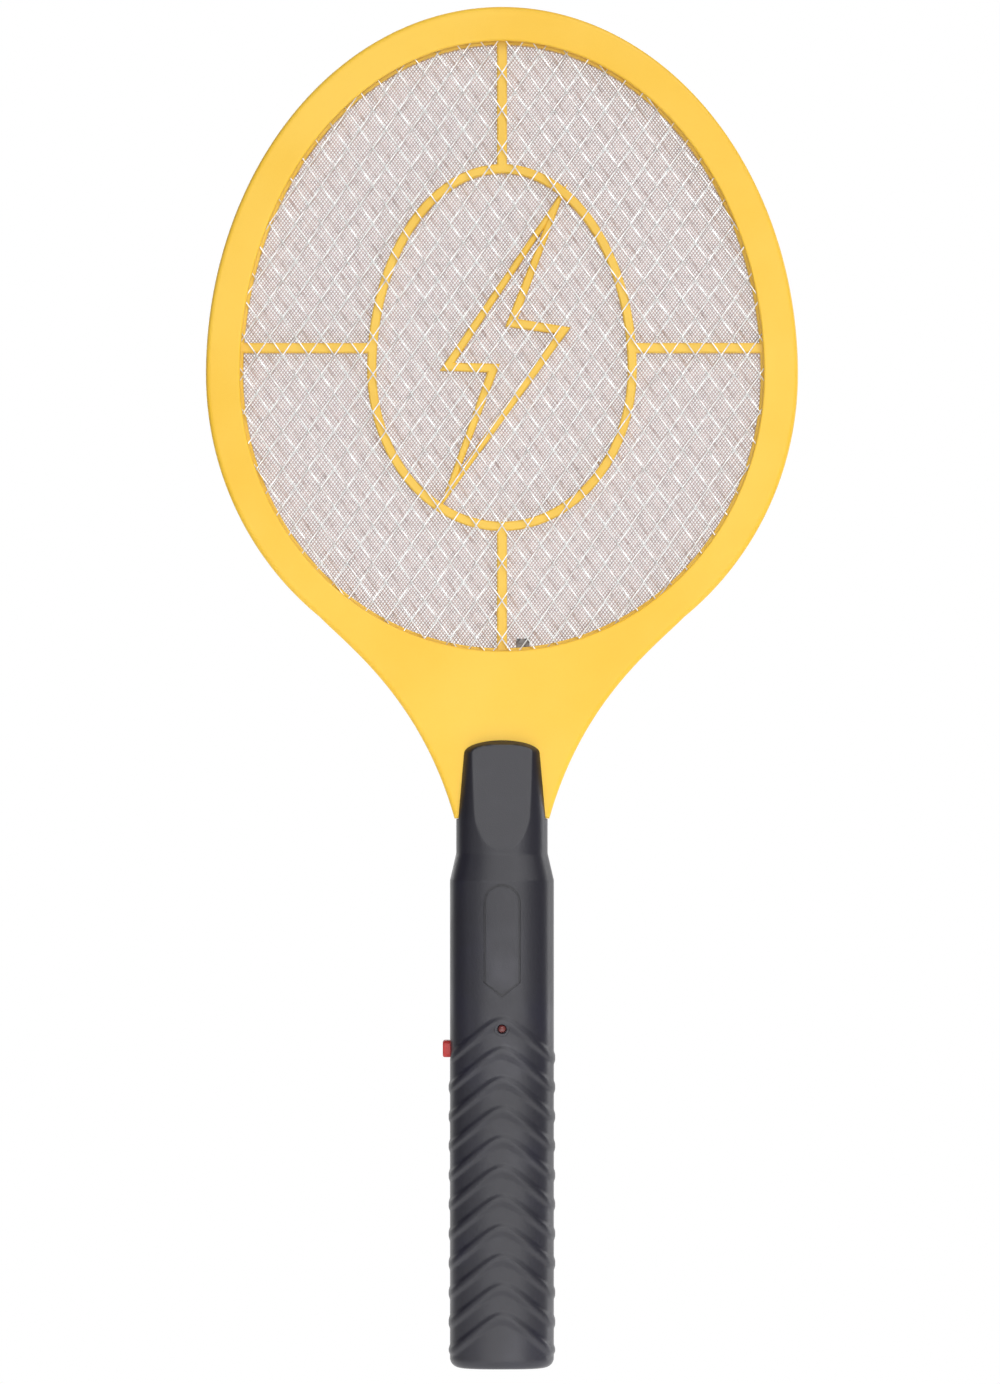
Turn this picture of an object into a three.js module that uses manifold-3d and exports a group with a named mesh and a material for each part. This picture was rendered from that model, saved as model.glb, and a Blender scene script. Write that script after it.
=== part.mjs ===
// A battery-powered electric fly swatter, built as it comes apart on a bench: a racket head of two
// frame halves that clamp three metal nets and two ribbed spacers, and a two-shell handle that
// holds the cells, the high-voltage circuit, the push button and the indicator lamp.
//
// Millimetres. +Z runs up the handle to the head, the front faces -Y, and +X is to the right seen
// from the front. The origin is the centre of the handle's flat end.
import * as THREE from "three";
import { mergeVertices } from "three/addons/utils/BufferGeometryUtils.js";
import Module from "manifold-3d";

const wasm = await Module();
wasm.setup();

// ---------- driving dimensions ----------
const GAP = 0.3; // between pieces that touch, and between pieces that slide
const PART_GAP = 0.15; // from the parting plane to each moulded half

// Head
const NECK_LENGTH = 60.7; // top of the collar to the foot of the window
const WINDOW_HALF_WIDTH = 94.4;
const WINDOW_UPPER = 120.1; // the window is two half ellipses on one width
const WINDOW_LOWER = 99.7;
const RIM_WIDTH = 12.3;
const RIM_FOOT = 11.3; // rim width under the window, before the neck
const NECK_ANGLE = (52 * Math.PI) / 180; // where the neck leaves the lower ellipse
const NECK_CURVE = [[0.22, 0.15], [0.754, 0.412]]; // its control points, as shares of its run
const FRAME_WALL = 2;
const FRAME_EDGE = 1.2; // chamfer on the frame's outer edges
const TANG_LENGTH = 31; // how far the frame reaches down into the handle
const NET_THICKNESS = 0.5;
const NET_BORDER = 7.5; // net and spacer reach this far under the rim
const SPACER_THICKNESS = 3.05;
const SPACER_LIP = 1; // spacer shows this far inside the window
const DIAMOND_WIDTH = 9.3; // one mesh of the outer nets
const DIAMOND_HEIGHT = 13.6;
const STRANDS_KEPT = 3; // one strand in this many is modelled
const CENTRE_PITCH = 34;
const STRAND_WIDTH = 1.1;
const RIB_WIDTH = 3.6;
const EGG_HALF_WIDTH = 47;
const EGG_UPPER = 72.5;
const EGG_LOWER = 56.5;
const BOLT_WIDTH = 3.3;
const BOLT = [ // the bolt's corners, as shares of the oval that holds it
  [0.479, 0.899],
  [-0.428, 0.012],
  [-0.066, 0.007],
  [-0.457, -0.85],
  [0.477, 0.196],
  [0.074, 0.234],
];

// Cells and handle
const CELL_RADIUS = 7.1;
const CELL_LENGTH = 49.2;
const NUB_RADIUS = 2.75;
const NUB_LENGTH = 1.3;
const CELL_SPRING_LENGTH = 5.5;
const CONTACT_THICKNESS = 0.4;
const TRAY_WALL = 1.4;
const SHELL_WALL = 2;
const CELL_SIDE_ROOM = 4.55; // two cells' width to the handle's half width
const CELL_DEPTH_ROOM = 1.3; // one cell's width to the handle's half depth
const CELL_BACK_ROOM = 4.8; // cells to the inside of the battery cover
const END_ROUNDING = 3.2;
const END_CORNER = 0.4; // chamfer inside, round the foot of the shells
const SQUARENESS = 3; // exponent of the handle's oval section
const SHOULDER_DROP = 12.3; // collar top to the narrowing
const SHOULDER_LENGTH = 9.7;
const NECK_HALF_WIDTH = 16.5;
const TONGUE_LENGTH = 28.5;
const TONGUE_TIP = 4.6; // length of its rounded end
const TONGUE_TIP_HALF_WIDTH = 13.6;
const TONGUE_FLAT_DROP = 14.5; // collar top to where the flat facet starts
const TONGUE_SLOPE = 0.103;
const GRIP_PITCH = 10.6;
const GRIP_COUNT = 11;
const GRIP_FIRST = 41; // below the badge's top: where the first chevron's tip is
const GRIP_HEIGHT = 0.6;
const GRIP_BAND = 3;
const GRIP_RISE = 0.9; // drop of a chevron's arm per millimetre of width
const BADGE_TOP_DROP = 23; // collar top to the badge's top
const BADGE_LENGTH = 40.8;
const BADGE_HALF_WIDTH = 6.7;
const BADGE_GROOVE = 0.8;
const BADGE_DEPTH = 0.5;

// Battery cover
const COVER_EDGE_ROOM = 5.75; // handle's half width to the cover's edge
const COVER_TOP_ROOM = 3; // past the cells' bay
const COVER_RAIL = 1.2;
const COVER_RAIL_REACH = 0.8;
const COVER_LIP_HALF_WIDTH = 6;
const COVER_RAIL_ROOM = 0.75; // rail hook to the inside of the shell

// Screws
const SCREW_RADIUS = 1.15;
const SCREW_HEAD_RADIUS = 2.4;
const SCREW_HEAD_HEIGHT = 1.7;
const LOWER_POST_ROOM = 1.75; // lower posts to the inside of the shell
const SCREW_SEAT = 9; // how far behind the middle the heads seat
const SEAT_GAP = 0.15;
const POST_RADIUS = 3;
const SCREW_ROOM = 0.2; // screw to the hole that it bites in

// Switch, lamp and circuit board
const BUTTON_HALF_WIDTH = 4.25;
const BUTTON_HALF_HEIGHT = 3.05;
const BUTTON_PROUD = 2.6;
const BUTTON_TRAVEL = 1.6;
const SWITCH_HALF = 4.1;
const LAMP_RADIUS = 1.5;
const LAMP_PROUD = 0.9;
const BOARD_HALF_WIDTH = 11.5;
const BOARD_THICKNESS = 1.6;
const BOARD_BACK = -4.4; // component side of the board
const BOARD_LENGTH = 81.1;
const BOARD_ABOVE_BAY = 15.5;
const BOARD_BELOW_TANG = 6;
const WIRE_RADIUS = 0.7;

// ---------- sizes that follow ----------
const HEAD_HALF_WIDTH = WINDOW_HALF_WIDTH + RIM_WIDTH;
const HEAD_UPPER = WINDOW_UPPER + RIM_WIDTH;
const HEAD_LOWER = WINDOW_LOWER + RIM_FOOT;
const SPACER_NEAR = NET_THICKNESS / 2 + GAP;
const SPACER_FAR = SPACER_NEAR + SPACER_THICKNESS;
const NET_NEAR = SPACER_FAR + GAP;
const NET_FAR = NET_NEAR + NET_THICKNESS;
const FLANGE_NEAR = NET_FAR + GAP;
const FRAME_HALF = FLANGE_NEAR + FRAME_WALL; // half the head's thickness
const HALF_WIDTH = 2 * CELL_RADIUS + CELL_SIDE_ROOM;
const HALF_DEPTH = 2 * CELL_RADIUS + CELL_DEPTH_ROOM;
const INNER_WIDTH = HALF_WIDTH - SHELL_WALL;
const INNER_DEPTH = HALF_DEPTH - SHELL_WALL;
const DEPTH_RATIO = HALF_DEPTH / HALF_WIDTH;
const NECK_INSIDE = NECK_HALF_WIDTH - SHELL_WALL - 0.8;
const TANG_HALF_WIDTH = NECK_INSIDE - 1.2;
const END_WALL = SHELL_WALL + 0.5;
const CELL_X = CELL_RADIUS + 0.4;
const CELL_Y = INNER_DEPTH - CELL_BACK_ROOM - CELL_RADIUS;
const TRAY_FOOT = END_WALL + GAP;
const LOWER_CONTACT = TRAY_FOOT + TRAY_WALL + GAP;
const BAY_FOOT = LOWER_CONTACT + CONTACT_THICKNESS + GAP;
const CELL_STACK = CELL_LENGTH + NUB_LENGTH + CELL_SPRING_LENGTH + GAP;
const UPPER_CONTACT = BAY_FOOT + CELL_STACK + GAP;
const TRAY_TOP = UPPER_CONTACT + CONTACT_THICKNESS + GAP + TRAY_WALL;
const COVER_TOP = TRAY_TOP + COVER_TOP_ROOM;
const COVER_HALF_WIDTH = HALF_WIDTH - COVER_EDGE_ROOM;
const insideDepth = (x) => INNER_DEPTH * (1 - (x / INNER_WIDTH) ** SQUARENESS) ** (1 / SQUARENESS);
const RAIL_Y = insideDepth(COVER_HALF_WIDTH + COVER_RAIL_REACH) - COVER_RAIL - COVER_RAIL_ROOM;
const BOARD_FOOT = TRAY_TOP + BOARD_ABOVE_BAY;
const BOARD_TOP = BOARD_FOOT + BOARD_LENGTH;
const TANG_FOOT = BOARD_TOP + BOARD_BELOW_TANG;
const HANDLE_LENGTH = TANG_FOOT + TANG_LENGTH; // to the top of the collar
const SHOULDER_Z = HANDLE_LENGTH + GAP;
const NARROW_Z = HANDLE_LENGTH - SHOULDER_DROP;
const WIDE_Z = NARROW_Z - SHOULDER_LENGTH;
const TONGUE_TOP = HANDLE_LENGTH + TONGUE_LENGTH;
const FLAT_Z = HANDLE_LENGTH - TONGUE_FLAT_DROP;
const WINDOW_FOOT = HANDLE_LENGTH + NECK_LENGTH;
const HEAD_Z = WINDOW_FOOT + WINDOW_LOWER;
const BOARD_FRONT = BOARD_BACK - BOARD_THICKNESS;
const BADGE_TOP = HANDLE_LENGTH - BADGE_TOP_DROP;
const BADGE_FOOT = BADGE_TOP - BADGE_LENGTH;
const LAMP_Z = BADGE_FOOT - 11.2;
const BUTTON_Z = LAMP_Z - 7.8;
const POST_TOP_Z = HANDLE_LENGTH + 8.5;
const POST_LOW_Z = TANG_FOOT + 9.5;
const LOWER_SCREW_X = INNER_WIDTH - POST_RADIUS - LOWER_POST_ROOM;
const LOWER_SCREW_Z = TRAY_TOP + 8.5;
const FRAME_SCREW_X = 24;
const FRAME_SCREW_Z = WINDOW_FOOT - 14.2;
const TAB_X = 7.6;
const TAB_HALF_WIDTH = 2.4;
const TAB_FOOT = WINDOW_FOOT - 14;

// ---------- materials ----------
const paint = (color, roughness, metalness = 0) =>
  new THREE.MeshStandardMaterial({ color, roughness, metalness });
const yellow = paint(0xfcd456, 0.45);
const black = paint(0x3c3c40, 0.5);
const red = paint(0xa01c20, 0.35);
const lampRed = paint(0x8a2a20, 0.15);
const steel = paint(0xc8c6c4, 0.35, 1);
const brass = paint(0xb89a58, 0.35, 1);
const boardGreen = paint(0x9a7a3c, 0.6);
const ferrite = paint(0x35353a, 0.7);
const tape = paint(0xe6c23c, 0.5);
const filmBrown = paint(0x7c2a1c, 0.3);
const ceramic = paint(0x2f6fb0, 0.4);
const epoxy = paint(0x18181a, 0.45);
const resistorTan = paint(0xc9a878, 0.5);
const trayGrey = paint(0x2a2a2c, 0.6);
const cellGreen = paint(0x3f6f5a, 0.35);
const wireRed = paint(0xa8211c, 0.5);
const wireBlack = paint(0x161616, 0.5);

// ---------- solids ----------
// A three.js geometry as a solid that can be joined and cut.
function solid(geometry) {
  const bare = new THREE.BufferGeometry();
  bare.setAttribute("position", geometry.getAttribute("position").clone());
  if (geometry.index) bare.setIndex(geometry.index.clone());
  const merged = mergeVertices(bare, 1e-4);
  const vertProperties = merged.attributes.position.array;
  const triVerts = new Uint32Array(merged.index.array);
  return new wasm.Manifold(new wasm.Mesh({ numProp: 3, vertProperties, triVerts }));
}

// A shape drawn as seen from the front (x right, y up), from depth y0 back to depth y1.
function slab(shape, y0, y1, { edge = 0, curveSegments = 9 } = {}) {
  const geometry = new THREE.ExtrudeGeometry(shape, {
    depth: y1 - y0 - 2 * edge,
    bevelEnabled: edge > 0,
    bevelThickness: edge,
    bevelSize: edge,
    bevelOffset: -edge,
    bevelSegments: 1,
    curveSegments,
  });
  geometry.rotateX(Math.PI / 2);
  geometry.translate(0, y1 - edge, 0);
  return solid(geometry);
}

// An axis-aligned block between two corners.
function block(x0, y0, z0, x1, y1, z1) {
  const geometry = new THREE.BoxGeometry(x1 - x0, y1 - y0, z1 - z0);
  geometry.translate((x0 + x1) / 2, (y0 + y1) / 2, (z0 + z1) / 2);
  return solid(geometry);
}

// A round bar along "x", "y" or "z" between two stations, through a point given in the other two.
function bar(axis, from, to, radius, [u, v], segments = 16) {
  const geometry = new THREE.CylinderGeometry(radius, radius, to - from, segments);
  const middle = (from + to) / 2;
  if (axis === "x") geometry.rotateZ(Math.PI / 2).translate(middle, u, v);
  if (axis === "y") geometry.translate(u, middle, v);
  if (axis === "z") geometry.rotateX(Math.PI / 2).translate(u, v, middle);
  return solid(geometry);
}

// A tube of radius r along a smooth path of points.
function tube(points, radius, steps, sides = 6) {
  const section = new THREE.Shape().absarc(0, 0, radius, 0, 2 * Math.PI, false);
  const extrudePath =
    points instanceof THREE.Curve
      ? points
      : new THREE.CatmullRomCurve3(points.map((p) => new THREE.Vector3(...p)));
  return solid(
    new THREE.ExtrudeGeometry(section, { steps, extrudePath, curveSegments: sides / 2 }),
  );
}

const joined = (first, ...rest) => rest.reduce((all, next) => all.add(next), first);
const cut = (first, ...rest) => rest.reduce((left, next) => left.subtract(next), first);

const FAR = 600; // past the object on every side
const frontHalf = (part) => part.intersect(block(-FAR, -FAR, -FAR, FAR, -PART_GAP, FAR));
const rearHalf = (part) => part.intersect(block(-FAR, PART_GAP, -FAR, FAR, FAR, FAR));
const above = (z) => block(-FAR, -FAR, z, FAR, FAR, FAR);

// A solid as a named mesh of the finished object.
const swatter = new THREE.Group();
function place(name, part, material) {
  const { numProp, vertProperties, triVerts, numVert } = part.getMesh();
  const positions = new Float32Array(numVert * 3);
  for (let i = 0; i < numVert; i++) {
    positions.set(vertProperties.subarray(i * numProp, i * numProp + 3), i * 3);
  }
  const geometry = new THREE.BufferGeometry();
  geometry.setAttribute("position", new THREE.BufferAttribute(positions, 3));
  geometry.setIndex(new THREE.BufferAttribute(triVerts, 1));
  geometry.computeVertexNormals();
  const mesh = new THREE.Mesh(geometry, material.clone());
  mesh.name = name;
  swatter.add(mesh);
}

// ---------- head ----------
// Outline of the frame: upper and lower half ellipses, the neck's curve and the tang.
function frameOutline(inset) {
  const wide = HEAD_HALF_WIDTH - inset;
  const upper = HEAD_UPPER - inset;
  const lower = HEAD_LOWER - inset;
  const neck = NECK_HALF_WIDTH + 0.6 - inset;
  const tang = TANG_HALF_WIDTH - inset;
  const shoulder = SHOULDER_Z + inset;
  const foot = inset > 0 ? TANG_FOOT - 1 : TANG_FOOT; // a cavity runs out of the tang's end
  const start = [wide * Math.cos(NECK_ANGLE), HEAD_Z - lower * Math.sin(NECK_ANGLE)];
  const [[x1, z1], [x2, z2]] = NECK_CURVE.map(([sx, sz]) => [
    start[0] + sx * (neck - start[0]),
    start[1] + sz * (shoulder - start[1]),
  ]);
  return new THREE.Shape()
    .moveTo(-tang, foot)
    .lineTo(tang, foot)
    .lineTo(tang, shoulder)
    .lineTo(neck, shoulder)
    .bezierCurveTo(x2, z2, x1, z1, ...start)
    .absellipse(0, HEAD_Z, wide, lower, -NECK_ANGLE, 0, false)
    .absellipse(0, HEAD_Z, wide, upper, 0, Math.PI, false)
    .absellipse(0, HEAD_Z, wide, lower, Math.PI, Math.PI + NECK_ANGLE, false)
    .bezierCurveTo(-x1, z1, -x2, z2, -neck, shoulder)
    .lineTo(-tang, shoulder);
}

// The window's outline, grown outwards by some distance.
function windowOutline(grow, kind = THREE.Shape) {
  const wide = WINDOW_HALF_WIDTH + grow;
  return new kind()
    .absellipse(0, HEAD_Z, wide, WINDOW_UPPER + grow, 0, Math.PI, false)
    .absellipse(0, HEAD_Z, wide, WINDOW_LOWER + grow, Math.PI, 2 * Math.PI, false);
}

function frameShell() {
  const outline = frameOutline(0);
  outline.holes.push(windowOutline(0, THREE.Path));
  const body = slab(outline, -FRAME_HALF, FRAME_HALF, { edge: FRAME_EDGE });
  const hollow = slab(frameOutline(FRAME_WALL), -FLANGE_NEAR, FLANGE_NEAR);
  const postHoles = [POST_TOP_Z, POST_LOW_Z].map((z) =>
    bar("y", -FRAME_HALF - 1, FRAME_HALF + 1, POST_RADIUS + GAP, [0, z]),
  );
  const bosses = [-1, 1].map((side) =>
    bar("y", -FLANGE_NEAR - 0.5, FLANGE_NEAR + 0.5, 2.8, [side * FRAME_SCREW_X, FRAME_SCREW_Z]),
  );
  return joined(cut(body, hollow, ...postHoles), ...bosses);
}

const FRAME_SCREW_SEAT = FRAME_HALF - 1.5;
function frameHalves() {
  const shell = frameShell();
  const at = [-1, 1].map((side) => [side * FRAME_SCREW_X, FRAME_SCREW_Z]);
  const holes = at.map((p) => bar("y", -FLANGE_NEAR, 0, 1.1, p));
  place("front_frame", cut(frontHalf(shell), ...holes), yellow);
  const passages = at.flatMap((p) => [
    bar("y", 0, FRAME_HALF + 1, 1.25, p),
    bar("y", FRAME_SCREW_SEAT, FRAME_HALF + 1, 2.5, p),
  ]);
  place("rear_frame", cut(rearHalf(shell), ...passages), yellow);
}

// Every diamond of a net whose cells are this wide and high, as one set of prisms.
function diamonds(width, height, strand, y0, y1) {
  const across = Math.ceil((WINDOW_HALF_WIDTH + NET_BORDER) / width) + 1;
  const up = Math.ceil(WINDOW_UPPER / height) + 1;
  const shrink = strand / (2 * Math.sin(Math.atan2(width, height)));
  const halfWidth = width / 2 - (shrink * width) / height;
  const halfHeight = height / 2 - shrink;
  const prisms = [];
  for (let row = -2 * up; row <= 2 * up; row++) {
    const offset = row % 2 ? width / 2 : 0;
    for (let column = -across; column <= across; column++) {
      const x = column * width + offset;
      const z = HEAD_Z + (row * height) / 2;
      const reach = Math.hypot(x / WINDOW_HALF_WIDTH, (z - HEAD_Z) / WINDOW_UPPER);
      if (reach > 1.15) continue;
      const diamond = new THREE.Shape()
        .moveTo(x - halfWidth, z)
        .lineTo(x, z - halfHeight)
        .lineTo(x + halfWidth, z)
        .lineTo(x, z + halfHeight);
      prisms.push(slab(diamond, y0, y1));
    }
  }
  return wasm.Manifold.union(prisms);
}

// A net: a sheet with a plain border, opened by diamonds inside the window.
function net(width, height, strand, y0, y1, tabSide) {
  const sheet = slab(windowOutline(NET_BORDER), y0, y1);
  const tabTop = WINDOW_FOOT - NET_BORDER + 2;
  const x = tabSide * TAB_X;
  const tab = block(x - TAB_HALF_WIDTH, y0, TAB_FOOT, x + TAB_HALF_WIDTH, y1, tabTop);
  const open = slab(windowOutline(-STRAND_WIDTH), y0 - 1, y1 + 1);
  const holes = diamonds(width, height, strand, y0 - 0.5, y1 + 0.5).intersect(open);
  return cut(joined(sheet, tab), holes);
}

// The terminal strip that feeds the centre net, and the notch that it needs in the spacer.
const TERMINAL_TOP = WINDOW_FOOT + 4.5;
function terminal(grow) {
  const y = -SPACER_NEAR - grow;
  return block(
    TAB_X - TAB_HALF_WIDTH - grow,
    y - CONTACT_THICKNESS,
    TAB_FOOT - grow,
    TAB_X + TAB_HALF_WIDTH + grow,
    -SPACER_NEAR + grow,
    TERMINAL_TOP + grow,
  );
}

// A straight rib from one point to another, both as seen from the front.
function rib([x0, z0], [x1, z1], width, y0, y1) {
  const along = new THREE.Vector2(x1 - x0, z1 - z0);
  const side = new THREE.Vector2(-along.y, along.x).setLength(width / 2);
  const shape = new THREE.Shape()
    .moveTo(x0 + side.x, z0 + side.y)
    .lineTo(x0 - side.x, z0 - side.y)
    .lineTo(x1 - side.x, z1 - side.y)
    .lineTo(x1 + side.x, z1 + side.y);
  return slab(shape, y0, y1);
}

const EGG_Z = HEAD_Z + 1.8;
function eggOutline(grow, kind = THREE.Shape) {
  const wide = EGG_HALF_WIDTH + grow;
  return new kind()
    .absellipse(0, EGG_Z, wide, EGG_UPPER + grow, 0, Math.PI, false)
    .absellipse(0, EGG_Z, wide, EGG_LOWER + grow, Math.PI, 2 * Math.PI, false);
}

// A ribbed insulating spacer: its ring, a cross of four ribs, an oval and a zigzag bolt in it.
function spacer(y0, y1) {
  const half = BOLT_WIDTH / 2;
  const ring = windowOutline(NET_BORDER + 0.5);
  ring.holes.push(windowOutline(-SPACER_LIP, THREE.Path));
  const oval = eggOutline(half);
  oval.holes.push(eggOutline(-half, THREE.Path));
  const crossZ = HEAD_Z + 9.6;
  const armX = EGG_HALF_WIDTH;
  const ribs = [
    [[0, EGG_Z + EGG_UPPER], [0, HEAD_Z + WINDOW_UPPER + 2]],
    [[0, WINDOW_FOOT - 2], [0, EGG_Z - EGG_LOWER]],
    [[-WINDOW_HALF_WIDTH - 2, crossZ], [-armX, crossZ]],
    [[armX, crossZ], [WINDOW_HALF_WIDTH + 2, crossZ]],
  ].map(([a, b]) => rib(a, b, RIB_WIDTH, y0, y1));
  const corners = BOLT.map(([across, up]) => [
    across * EGG_HALF_WIDTH,
    EGG_Z + up * (up > 0 ? EGG_UPPER : EGG_LOWER),
  ]);
  const strokes = corners.map((a, i) => {
    const b = corners[(i + 1) % corners.length];
    const reach = new THREE.Vector2(b[0] - a[0], b[1] - a[1]).setLength(half * 0.8);
    return rib([a[0] - reach.x, a[1] - reach.y], [b[0] + reach.x, b[1] + reach.y], BOLT_WIDTH, y0, y1);
  });
  return joined(slab(ring, y0, y1), slab(oval, y0, y1), ...ribs, ...strokes);
}

function head() {
  frameHalves();
  const coarse = [DIAMOND_WIDTH * STRANDS_KEPT, DIAMOND_HEIGHT * STRANDS_KEPT, STRAND_WIDTH];
  place("front_net", net(...coarse, -NET_FAR, -NET_NEAR, -1), steel);
  place("rear_net", net(...coarse, NET_NEAR, NET_FAR, -1), steel);
  const fine = [CENTRE_PITCH, CENTRE_PITCH, STRAND_WIDTH];
  place("centre_net", net(...fine, -NET_THICKNESS / 2, NET_THICKNESS / 2, 1), steel);
  place("front_spacer", cut(spacer(-SPACER_FAR, -SPACER_NEAR), terminal(GAP)), yellow);
  place("rear_spacer", spacer(SPACER_NEAR, SPACER_FAR), yellow);
  place("centre_net_terminal", terminal(0), brass);
}

// ---------- handle ----------
// Turns a profile of (radius, height) pairs about the handle's axis and squares the round section
// into an oval that is `ratio` times as deep as it is wide.
function oval(profile, ratio, segments = 28) {
  const points = profile.map(([r, z]) => new THREE.Vector2(r, z));
  const geometry = new THREE.LatheGeometry(points, segments).rotateX(Math.PI / 2);
  const position = geometry.getAttribute("position");
  const bulge = 2 / SQUARENESS;
  for (let i = 0; i < position.count; i++) {
    const [x, y] = [position.getX(i), position.getY(i)];
    const radius = Math.hypot(x, y);
    if (radius < 1e-6) continue;
    const wide = Math.sign(x) * Math.abs(x / radius) ** bulge;
    const deep = Math.sign(y) * Math.abs(y / radius) ** bulge;
    position.setXY(i, radius * wide, radius * deep * ratio);
  }
  return solid(geometry);
}

// Radius of the turned handle at which its tongue, outside the frame's room, is `half` wide.
const tongueRadius = (half) => {
  const depth = (FRAME_HALF + GAP) / DEPTH_RATIO;
  return (half ** SQUARENESS + depth ** SQUARENESS) ** (1 / SQUARENESS);
};

// The handle's whole outside, grown by some distance, before it is split into shells.
function handleOutside(grow) {
  const wide = HALF_WIDTH + grow;
  const neck = NECK_HALF_WIDTH + grow;
  const tip = [0, 0.35, 0.6, 0.8, 0.93, 1].map((share) => [
    tongueRadius(TONGUE_TIP_HALF_WIDTH * Math.sqrt(1 - share * share)) + grow,
    TONGUE_TOP - TONGUE_TIP * (1 - share),
  ]);
  const profile = [
    [0, -grow],
    [HALF_WIDTH - END_ROUNDING, -grow],
    [wide - END_ROUNDING * 0.2, END_ROUNDING * 0.4],
    [wide, END_ROUNDING],
    [wide, WIDE_Z],
    [neck, NARROW_Z],
    [neck, HANDLE_LENGTH],
    ...tip,
    [0, TONGUE_TOP],
  ];
  return cut(oval(profile, DEPTH_RATIO), flatCut(-1, grow), flatCut(1, grow));
}

// What lies outside a tongue's sloping flat, in front (side -1) or behind (side 1). The flat
// starts part way down the narrowing, at the depth that the handle has there.
function flatCut(side, grow) {
  const size = 80;
  const share = (NARROW_Z - FLAT_Z) / SHOULDER_LENGTH;
  const radius = NECK_HALF_WIDTH + share * (HALF_WIDTH - NECK_HALF_WIDTH);
  const geometry = new THREE.BoxGeometry(size, size, size);
  geometry.translate(0, (side * size) / 2, size / 2);
  geometry.rotateX(side * Math.atan(TONGUE_SLOPE));
  geometry.translate(0, side * (radius * DEPTH_RATIO + grow), FLAT_Z);
  return solid(geometry);
}

function handleInside() {
  const neck = NECK_INSIDE;
  return oval(
    [
      [0, END_WALL],
      [INNER_WIDTH - END_CORNER, END_WALL],
      [INNER_WIDTH, END_WALL + END_CORNER],
      [INNER_WIDTH, WIDE_Z - 0.8],
      [neck, NARROW_Z - 0.8],
      [neck, HANDLE_LENGTH + 1],
      [0, HANDLE_LENGTH + 1],
    ],
    INNER_DEPTH / INNER_WIDTH,
  );
}

// Chevron ribs of the grip, one every GRIP_PITCH down the handle.
function gripRibs() {
  const reach = HALF_WIDTH + 1;
  const drop = reach * GRIP_RISE;
  const tip = 2.2; // the rounding of a chevron's tip
  const bands = [];
  for (let i = 0; i < GRIP_COUNT; i++) {
    const z = BADGE_TOP + BADGE_GROOVE - GRIP_FIRST - 7.5 - i * GRIP_PITCH;
    const shape = new THREE.Shape()
      .moveTo(-reach, z - drop)
      .lineTo(-tip, z - tip * GRIP_RISE * 0.4)
      .lineTo(tip, z - tip * GRIP_RISE * 0.4)
      .lineTo(reach, z - drop)
      .lineTo(reach, z - drop - GRIP_BAND)
      .lineTo(tip, z - tip * GRIP_RISE * 0.4 - GRIP_BAND)
      .lineTo(-tip, z - tip * GRIP_RISE * 0.4 - GRIP_BAND)
      .lineTo(-reach, z - drop - GRIP_BAND);
    bands.push(slab(shape, -HALF_DEPTH - 2, HALF_DEPTH + 2));
  }
  const skin = cut(handleOutside(GRIP_HEIGHT), handleOutside(-0.6), above(WIDE_Z));
  const clearOfButton = buttonWell(2.2);
  const clearOfEnd = block(-FAR, -FAR, -FAR, FAR, FAR, END_ROUNDING + 1);
  return cut(skin.intersect(wasm.Manifold.union(bands)), clearOfButton, clearOfEnd);
}

function buttonWell(room) {
  return block(
    -HALF_WIDTH - 4,
    -BUTTON_HALF_WIDTH - room,
    BUTTON_Z - BUTTON_HALF_HEIGHT - room,
    -INNER_WIDTH + 2,
    BUTTON_HALF_WIDTH + room,
    BUTTON_Z + BUTTON_HALF_HEIGHT + room,
  );
}

// The badge's outline: a round top, straight sides and a pointed foot.
function badgeOutline(inset, kind = THREE.Shape) {
  const half = BADGE_HALF_WIDTH - inset;
  const shoulder = BADGE_FOOT + BADGE_HALF_WIDTH * 0.8;
  return new kind()
    .moveTo(0, BADGE_FOOT + inset * 1.3)
    .lineTo(half, shoulder)
    .lineTo(half, BADGE_TOP - BADGE_HALF_WIDTH)
    .absarc(0, BADGE_TOP - BADGE_HALF_WIDTH, half, 0, Math.PI, false)
    .lineTo(-half, shoulder);
}

function badgeGroove() {
  const band = badgeOutline(0);
  band.holes.push(badgeOutline(BADGE_GROOVE, THREE.Path));
  const through = slab(band, -HALF_DEPTH - 2, 0, { curveSegments: 8 });
  return cut(through, handleOutside(-BADGE_DEPTH));
}

const postPlaces = () => [[0, POST_TOP_Z], [0, POST_LOW_Z]];
const lowerPlaces = () => [-1, 1].map((side) => [side * LOWER_SCREW_X, LOWER_SCREW_Z]);
const boardPlaces = () => [
  [-BOARD_HALF_WIDTH + 3, BOARD_TOP - 4],
  [BOARD_HALF_WIDTH - 3, BOARD_FOOT + 4],
];

// Room that the racket frame takes between the two tongues.
const frameRoom = () =>
  block(-FAR, -FRAME_HALF - GAP, HANDLE_LENGTH, FAR, FRAME_HALF + GAP, FAR);

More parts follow.
